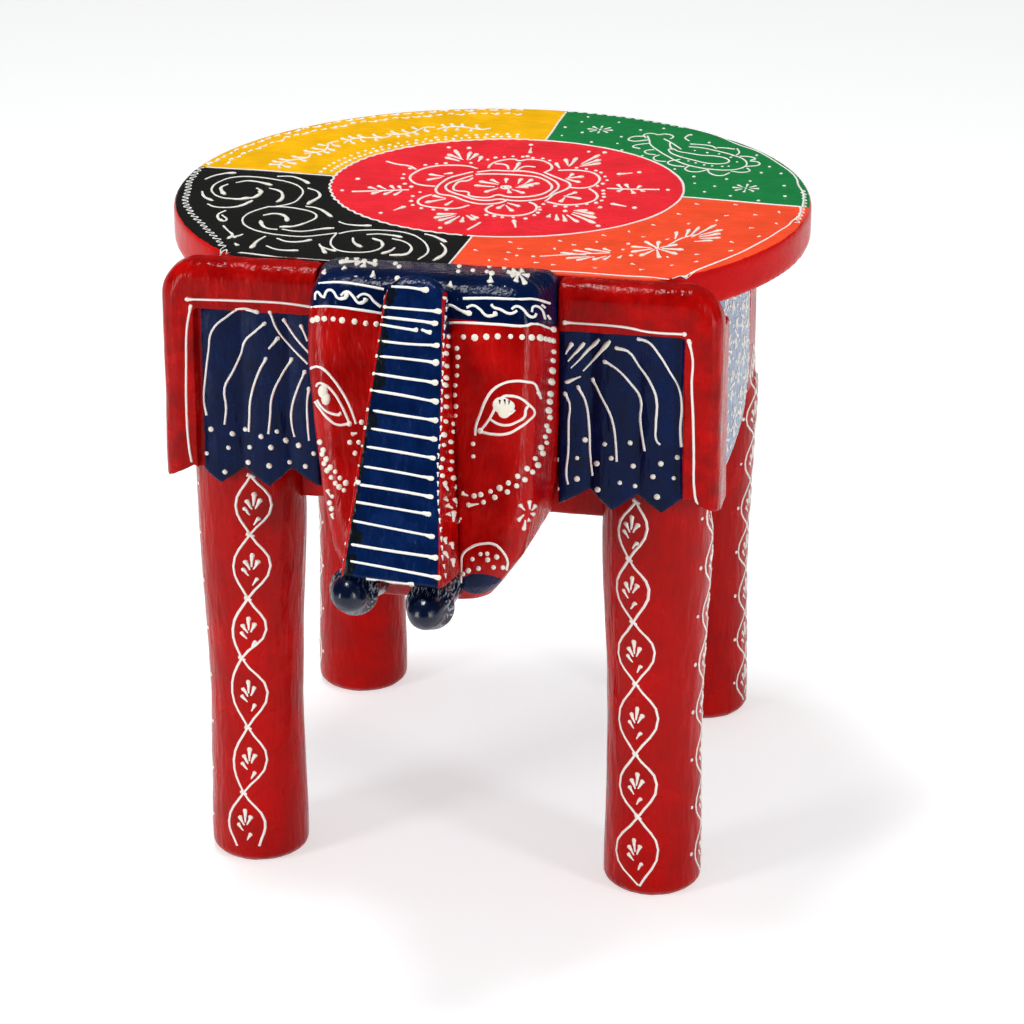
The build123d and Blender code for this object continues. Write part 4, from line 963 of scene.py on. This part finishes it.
# three touches of dark paint stand for the pupil
eyeTouches = {"drops": {0.5: "37.2 -25.6, 37.4 -27.6; 39.5 -25.2, 39.6 -27.4; 41.4 -25.6, 41.2 -27.4"}}
layOrnament("eyeTouches", [eyeTouches], headSurface, [pieces["headOrnament"]], 56, (), eyeEnamel)

crownStrokes = {
    "drops": {1.5: """-37.8 32.5,-28.2 33.8; -30.3 31.4,-27.3 33.7; -26.1 29.9,-26.3 33.7; -20.2 31.8,-25.2 33.9;
        48.5 31,44.8 31.6; 38.2 32.5,41.9 31.9; 39.9 29.9,42.7 31.4; 42.2 27.2,43.1 31; 46.8 26.4,44 31; 40.4 34.1,
        42.7 32.3; 45.4 34.1,43.9 32.3; -34.3 28.3,-34.6 30.2; -21 25.3,-21.3 28.2; -43.8 25.6,-43.3 28.3; 31.2 26,
        31.1 29.4; 13.1 22.6,13.6 25.4"""},
    "dots": {1.25: """-34.7 34.8,-30.4 35.6,-21.7 34.8,-12.3 33.7,-10.2 31.8,-10.2 25.3,16.5 31,23 32.2,29.3 31.8,
        31.5 31,36.9 35.2,30.1 35.6,16.6 34.4,-26.6 34.1,43.3 31.8"""},
}
layOrnament("crownOrnament", [crownStrokes], headSurface, [pieces["head"]], 54)

# -- legs: a chain of ovals, drawn as two strokes that cross, with a spray of five leaves in each
leafSpray = {
    1.2: [((0, 7.2), (-0.3, 0.2)), ((-3.4, 3.2), (-0.8, -1.4)), ((3, 3.8), (0.7, -1))],
    1.05: [((-4.3, -0.8), (-1.4, -4.4)), ((2.8, -5.4), (1.8, -6.6), (0.5, -9.2))],
}
legChains = {
    "legFrontLeft": {
        "crossings": "5.8 200.5, 4.9 171.2, 2.9 138.6, -1.1 107.5, 0.9 71.6, -2.1 37.4",
        "left": "-1.1 185.4, -3.1 154.7, -5.1 121.9, -7.2 88.6, -7.2 53.6, -10.9 20.6",
        "right": "14.7 184.8, 13.6 154.6, 11.3 122.3, 11.4 89.4, 10.2 54.6, 8.1 22.7",
        "ends": "-6.2 8.5, 5 9.7",
    },
    "legFrontRight": {
        "crossings": "-6 200.9, -9.1 172, -7 140.9, -6 109.4, -6 73.7, -4 41.9",
        "left": "-14.8 185.3, -15.9 155.2, -15.9 122.9, -16.2 89, -14.9 55.5, -16.2 21.3",
        "right": "-0.9 188.1, 0.1 158.5, 3.1 126.7, 5.1 92.9, 5.1 59.3, 6.2 25.5",
        "ends": "-3.4 6.6, -2.6 6.2",
    },
}
# the chain on each leg's outer face, centred u mm round the leg, has a row of dots in front of it
outerFaces = {
    "legFrontLeft": {"u": -37, "dots": -25},
    "legFrontRight": {"u": 37, "dots": 25},
    "legRearLeft": {"u": -33, "dots": -22},
    "legRearRight": {"u": 33, "dots": 22},
}
outerChain = {"count": 8, "top": 202, "pitch": 24.4, "half": 8.5}


def chainStrokes(crossings, left, right, ends):
    serpents, leaves = [[], []], {radius: [] for radius in leafSpray}
    for i, (cross, l, r) in enumerate(zip(crossings, left, right)):
        for serpent, side in zip(serpents, (l, r) if i % 2 == 0 else (r, l)):
            serpent.extend([cross, side])
        middle = Vector(((l[0] + r[0]) / 2, (l[1] + r[1]) / 2))
        tilt = Matrix.Rotation(random.uniform(-0.12, 0.12), 2)
        for radius, drops in leafSpray.items():
            leaves[radius].extend([[tuple(middle + tilt @ Vector(p)) for p in drop] for drop in drops])
    for serpent, end in zip(serpents, ends if len(crossings) % 2 else ends[::-1]):
        serpent.append(end)
    # the paint pools where the two strokes cross
    pools = [[(x - 1.6, z + 0.7), (x, z), (x + 1.8, z - 0.8)] for x, z in crossings]
    return {"lines": {0.62: serpents}, "drops": {**leaves, 1.3: pools}}


# a chain of the same kind, its ovals evenly spaced one below the other
def evenChain(u, count, top, pitch, half):
    rows = [(u + random.uniform(-1, 1), top - pitch * i) for i in range(count)]
    sides = [[(round(x + s, 2), round(z - pitch / 2, 2)) for x, z in rows] for s in (-half, half)]
    ends = [(round(u + s, 2), round(top - pitch * count, 2)) for s in (-2, 2)]
    return chainStrokes([(round(x, 2), round(z, 2)) for x, z in rows], *sides, ends)


for number, (name, outer) in enumerate(outerFaces.items()):
    random.seed(60 + number)
    patterns = [evenChain(outer["u"], **outerChain)]
    if name in legChains:
        patterns.append(chainStrokes(**{part: strokesFrom(text)[0] for part, text in legChains[name].items()}))
    heights = [outerChain["top"] - 12 - outerChain["pitch"] * i for i in range(outerChain["count"])]
    patterns.append({"dots": {1.0: [(outer["dots"], height) for height in heights]}})
    layOrnament(name + "Ornament", patterns, legSurface(legPlaces[name]), [pieces[name]], 70 + number)

# -- body: rows of eight-stroke flowers with dots between them
bodyFaces = {
    "bodySideRight": {"origin": (112, 0, 0), "across": (0, 1, 0), "way": (-1, 0, 0), "span": (-30, 118)},
    "bodySideLeft": {"origin": (-112, 0, 0), "across": (0, 1, 0), "way": (1, 0, 0), "span": (-30, 118)},
    "bodyRear": {"origin": (0, 190, 0), "across": (1, 0, 0), "way": (0, -1, 0), "span": (-60, 60)},
}
flowerRows = {"heights": (270, 248, 226, 204), "pitch": 26, "tailGap": 14, "outer": 8, "inner": 2.5, "dotRise": 8}
for number, (name, face) in enumerate(bodyFaces.items()):
    random.seed(80 + number)
    low, high = face["span"]
    half, rise = flowerRows["pitch"] // 2, flowerRows["dotRise"]
    flowers = []
    for row, z in enumerate(flowerRows["heights"]):
        flowers += [(u, z) for u in range(low + 14 + (row % 2) * half, high - 8, flowerRows["pitch"])]
    if name == "bodyRear":
        flowers = [(u, z) for u, z in flowers if abs(u) > flowerRows["tailGap"]]
    petals = []
    for u, z in flowers:
        petals += petalsOf(u, z, flowerRows["outer"], flowerRows["inner"], random.uniform(0, 0.7))
    dots = flowers + [(u + half, z + v) for u, z in flowers for v in (-rise, 0, rise) if low < u + half < high]
    edges = ((283, 283.4), (191, 190.6))
    border = [[(low + 3, end), ((low + high) / 2, middle), (high - 3, end)] for end, middle in edges]
    pattern = {"lines": {0.55: border}, "drops": {1.1: petals}, "dots": {1.1: dots}}
    surface = flatSurface(face["origin"], face["across"], (0, 0, 1), face["way"])
    layOrnament(name + "Ornament", [pattern], surface, [pieces[name]], 90 + number)

# ---- hardware that the block and panels hide
# Beech dowels, turned and left bare. The eye sees fine grain along each pin and small darker flecks.
beechDowel, add = emptied(bpy.data.materials.new("turnedBeechDowel"))
place = add("TexCoord").outputs["Object"]
long = add("Mapping", {"Vector": place, "Scale": (1, 0.08, 1)})
grain = add("TexNoise", {"Vector": long, "Scale": 1 / (0.9 * mm), "Detail": 4.0})
mask = add("MapRange", {"Value": grain, "From Min": 0.3, "From Max": 0.7})
colour = add("Mix", {0: mask, 6: linearColour("#c79a68"), 7: linearColour("#e0bd8d")}, data_type="RGBA")
relief = add("Bump", {"Height": grain, "Strength": 0.3, "Distance": 0.05 * mm})
wood = {"Base Color": colour, "Roughness": 0.6, "IOR": 1.5, "Normal": relief}
add("OutputMaterial", {"Surface": add("BsdfPrincipled", wood)})

# Steel wood screws, bright zinc plated. The eye sees a cool, slightly cloudy metal with fine turning marks.
zincScrew, add = emptied(bpy.data.materials.new("zincPlatedSteel"))
place = add("TexCoord").outputs["Object"]
cloud = add("TexNoise", {"Vector": place, "Scale": 1 / (1.5 * mm), "Detail": 3.0})
colour = add("Mix", {0: cloud, 6: linearColour("#a9adb0"), 7: linearColour("#d5d9dc")}, data_type="RGBA")
shine = add("MapRange", {"Value": cloud, "To Min": 0.22, "To Max": 0.42})
relief = add("Bump", {"Height": cloud, "Strength": 0.15, "Distance": 0.03 * mm})
plating = {"Base Color": colour, "Metallic": 1.0, "Roughness": shine, "Normal": relief}
add("OutputMaterial", {"Surface": add("BsdfPrincipled", plating)})

hardware = {node: beechDowel for node in ("block_dowels", "panel_dowels", "trunk_dowels", "tail_dowel")}
hardware.update({node: zincScrew for node in ("seat_screws", "head_screws", "ear_screws")})
for node, material in hardware.items():
    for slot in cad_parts[node].material_slots:
        slot.material = material
print("hardware:", len(hardware), "nodes")


# ---- floor and light
# 1 for rays that reach the camera straight, by a shine or through glass, and 0 for the light's own bounces
def seenBy(add):
    path = add("LightPath").outputs
    seen = add("Math", (path["Is Camera Ray"], path["Is Glossy Ray"]), operation="MAXIMUM")
    return add("Math", (seen, path["Is Transmission Ray"]), operation="MAXIMUM")


floorBm = bmesh.new()
bmesh.ops.create_grid(floorBm, x_segments=1, y_segments=1, size=6.0)
floor = newPiece("floor", meshFrom("floor", floorBm))
floorPaint, add = emptied(bpy.data.materials.new("studioFloor"))
glow = add("Math", (seenBy(add), 0.56), operation="MULTIPLY")
glow = add("Emission", {"Color": (1, 1, 1, 1), "Strength": glow})
matt = add("BsdfDiffuse", {"Color": (0.78, 0.79, 0.8, 1)})
both = add("AddShader", (matt, glow))
add("OutputMaterial", {"Surface": both})
floor.data.materials.append(floorPaint)
floor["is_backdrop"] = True

# white round the horizon and below it, and a dim ceiling above, as in a studio lit by soft boxes
bpy.context.scene.world, add = emptied(bpy.data.worlds.new("studio"))
way = add("TexCoord").outputs["Generated"]
upward = add("SeparateXYZ", {"Vector": way}).outputs["Z"]
ceiling = add("MapRange", {"Value": upward, "From Min": -0.05, "From Max": 0.01})
room = add("Mix", {0: ceiling, 6: (1, 1, 1, 1), 7: (0.06, 0.06, 0.06, 1)}, data_type="RGBA")
fill = add("Background", {"Color": (1, 1, 1, 1), "Strength": 0.28})
backdrop = add("Background", {"Color": room, "Strength": 1.0})
mixed = add("MixShader", (seenBy(add), fill, backdrop))
add("OutputWorld", {"Surface": mixed})

lamps = {
    "overhead": {"place": (-0.22, 0.1, 1.75), "size": (0.42, 0.36), "power": 15},
    "leftBox": {"place": (-1.05, -1.12, 0.42), "size": (0.35, 0.78), "power": 11},
    "rightBox": {"place": (1.28, -0.8, 0.42), "size": (0.25, 0.78), "power": 9},
}
aim = Vector((0, 0, 0.2))
for name, lamp in lamps.items():
    data = bpy.data.lights.new(name, "AREA")
    data.shape = "RECTANGLE"
    data.size, data.size_y = lamp["size"]
    data.energy = lamp["power"]
    light = newPiece(name, data)
    light.location = lamp["place"]
    light.rotation_euler = (aim - Vector(lamp["place"])).to_track_quat("-Z", "Y").to_euler()

bpy.context.scene.view_settings.view_transform = "Standard"
sizes = {"cad": cadBox, "visual": [list(corner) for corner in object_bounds()]}
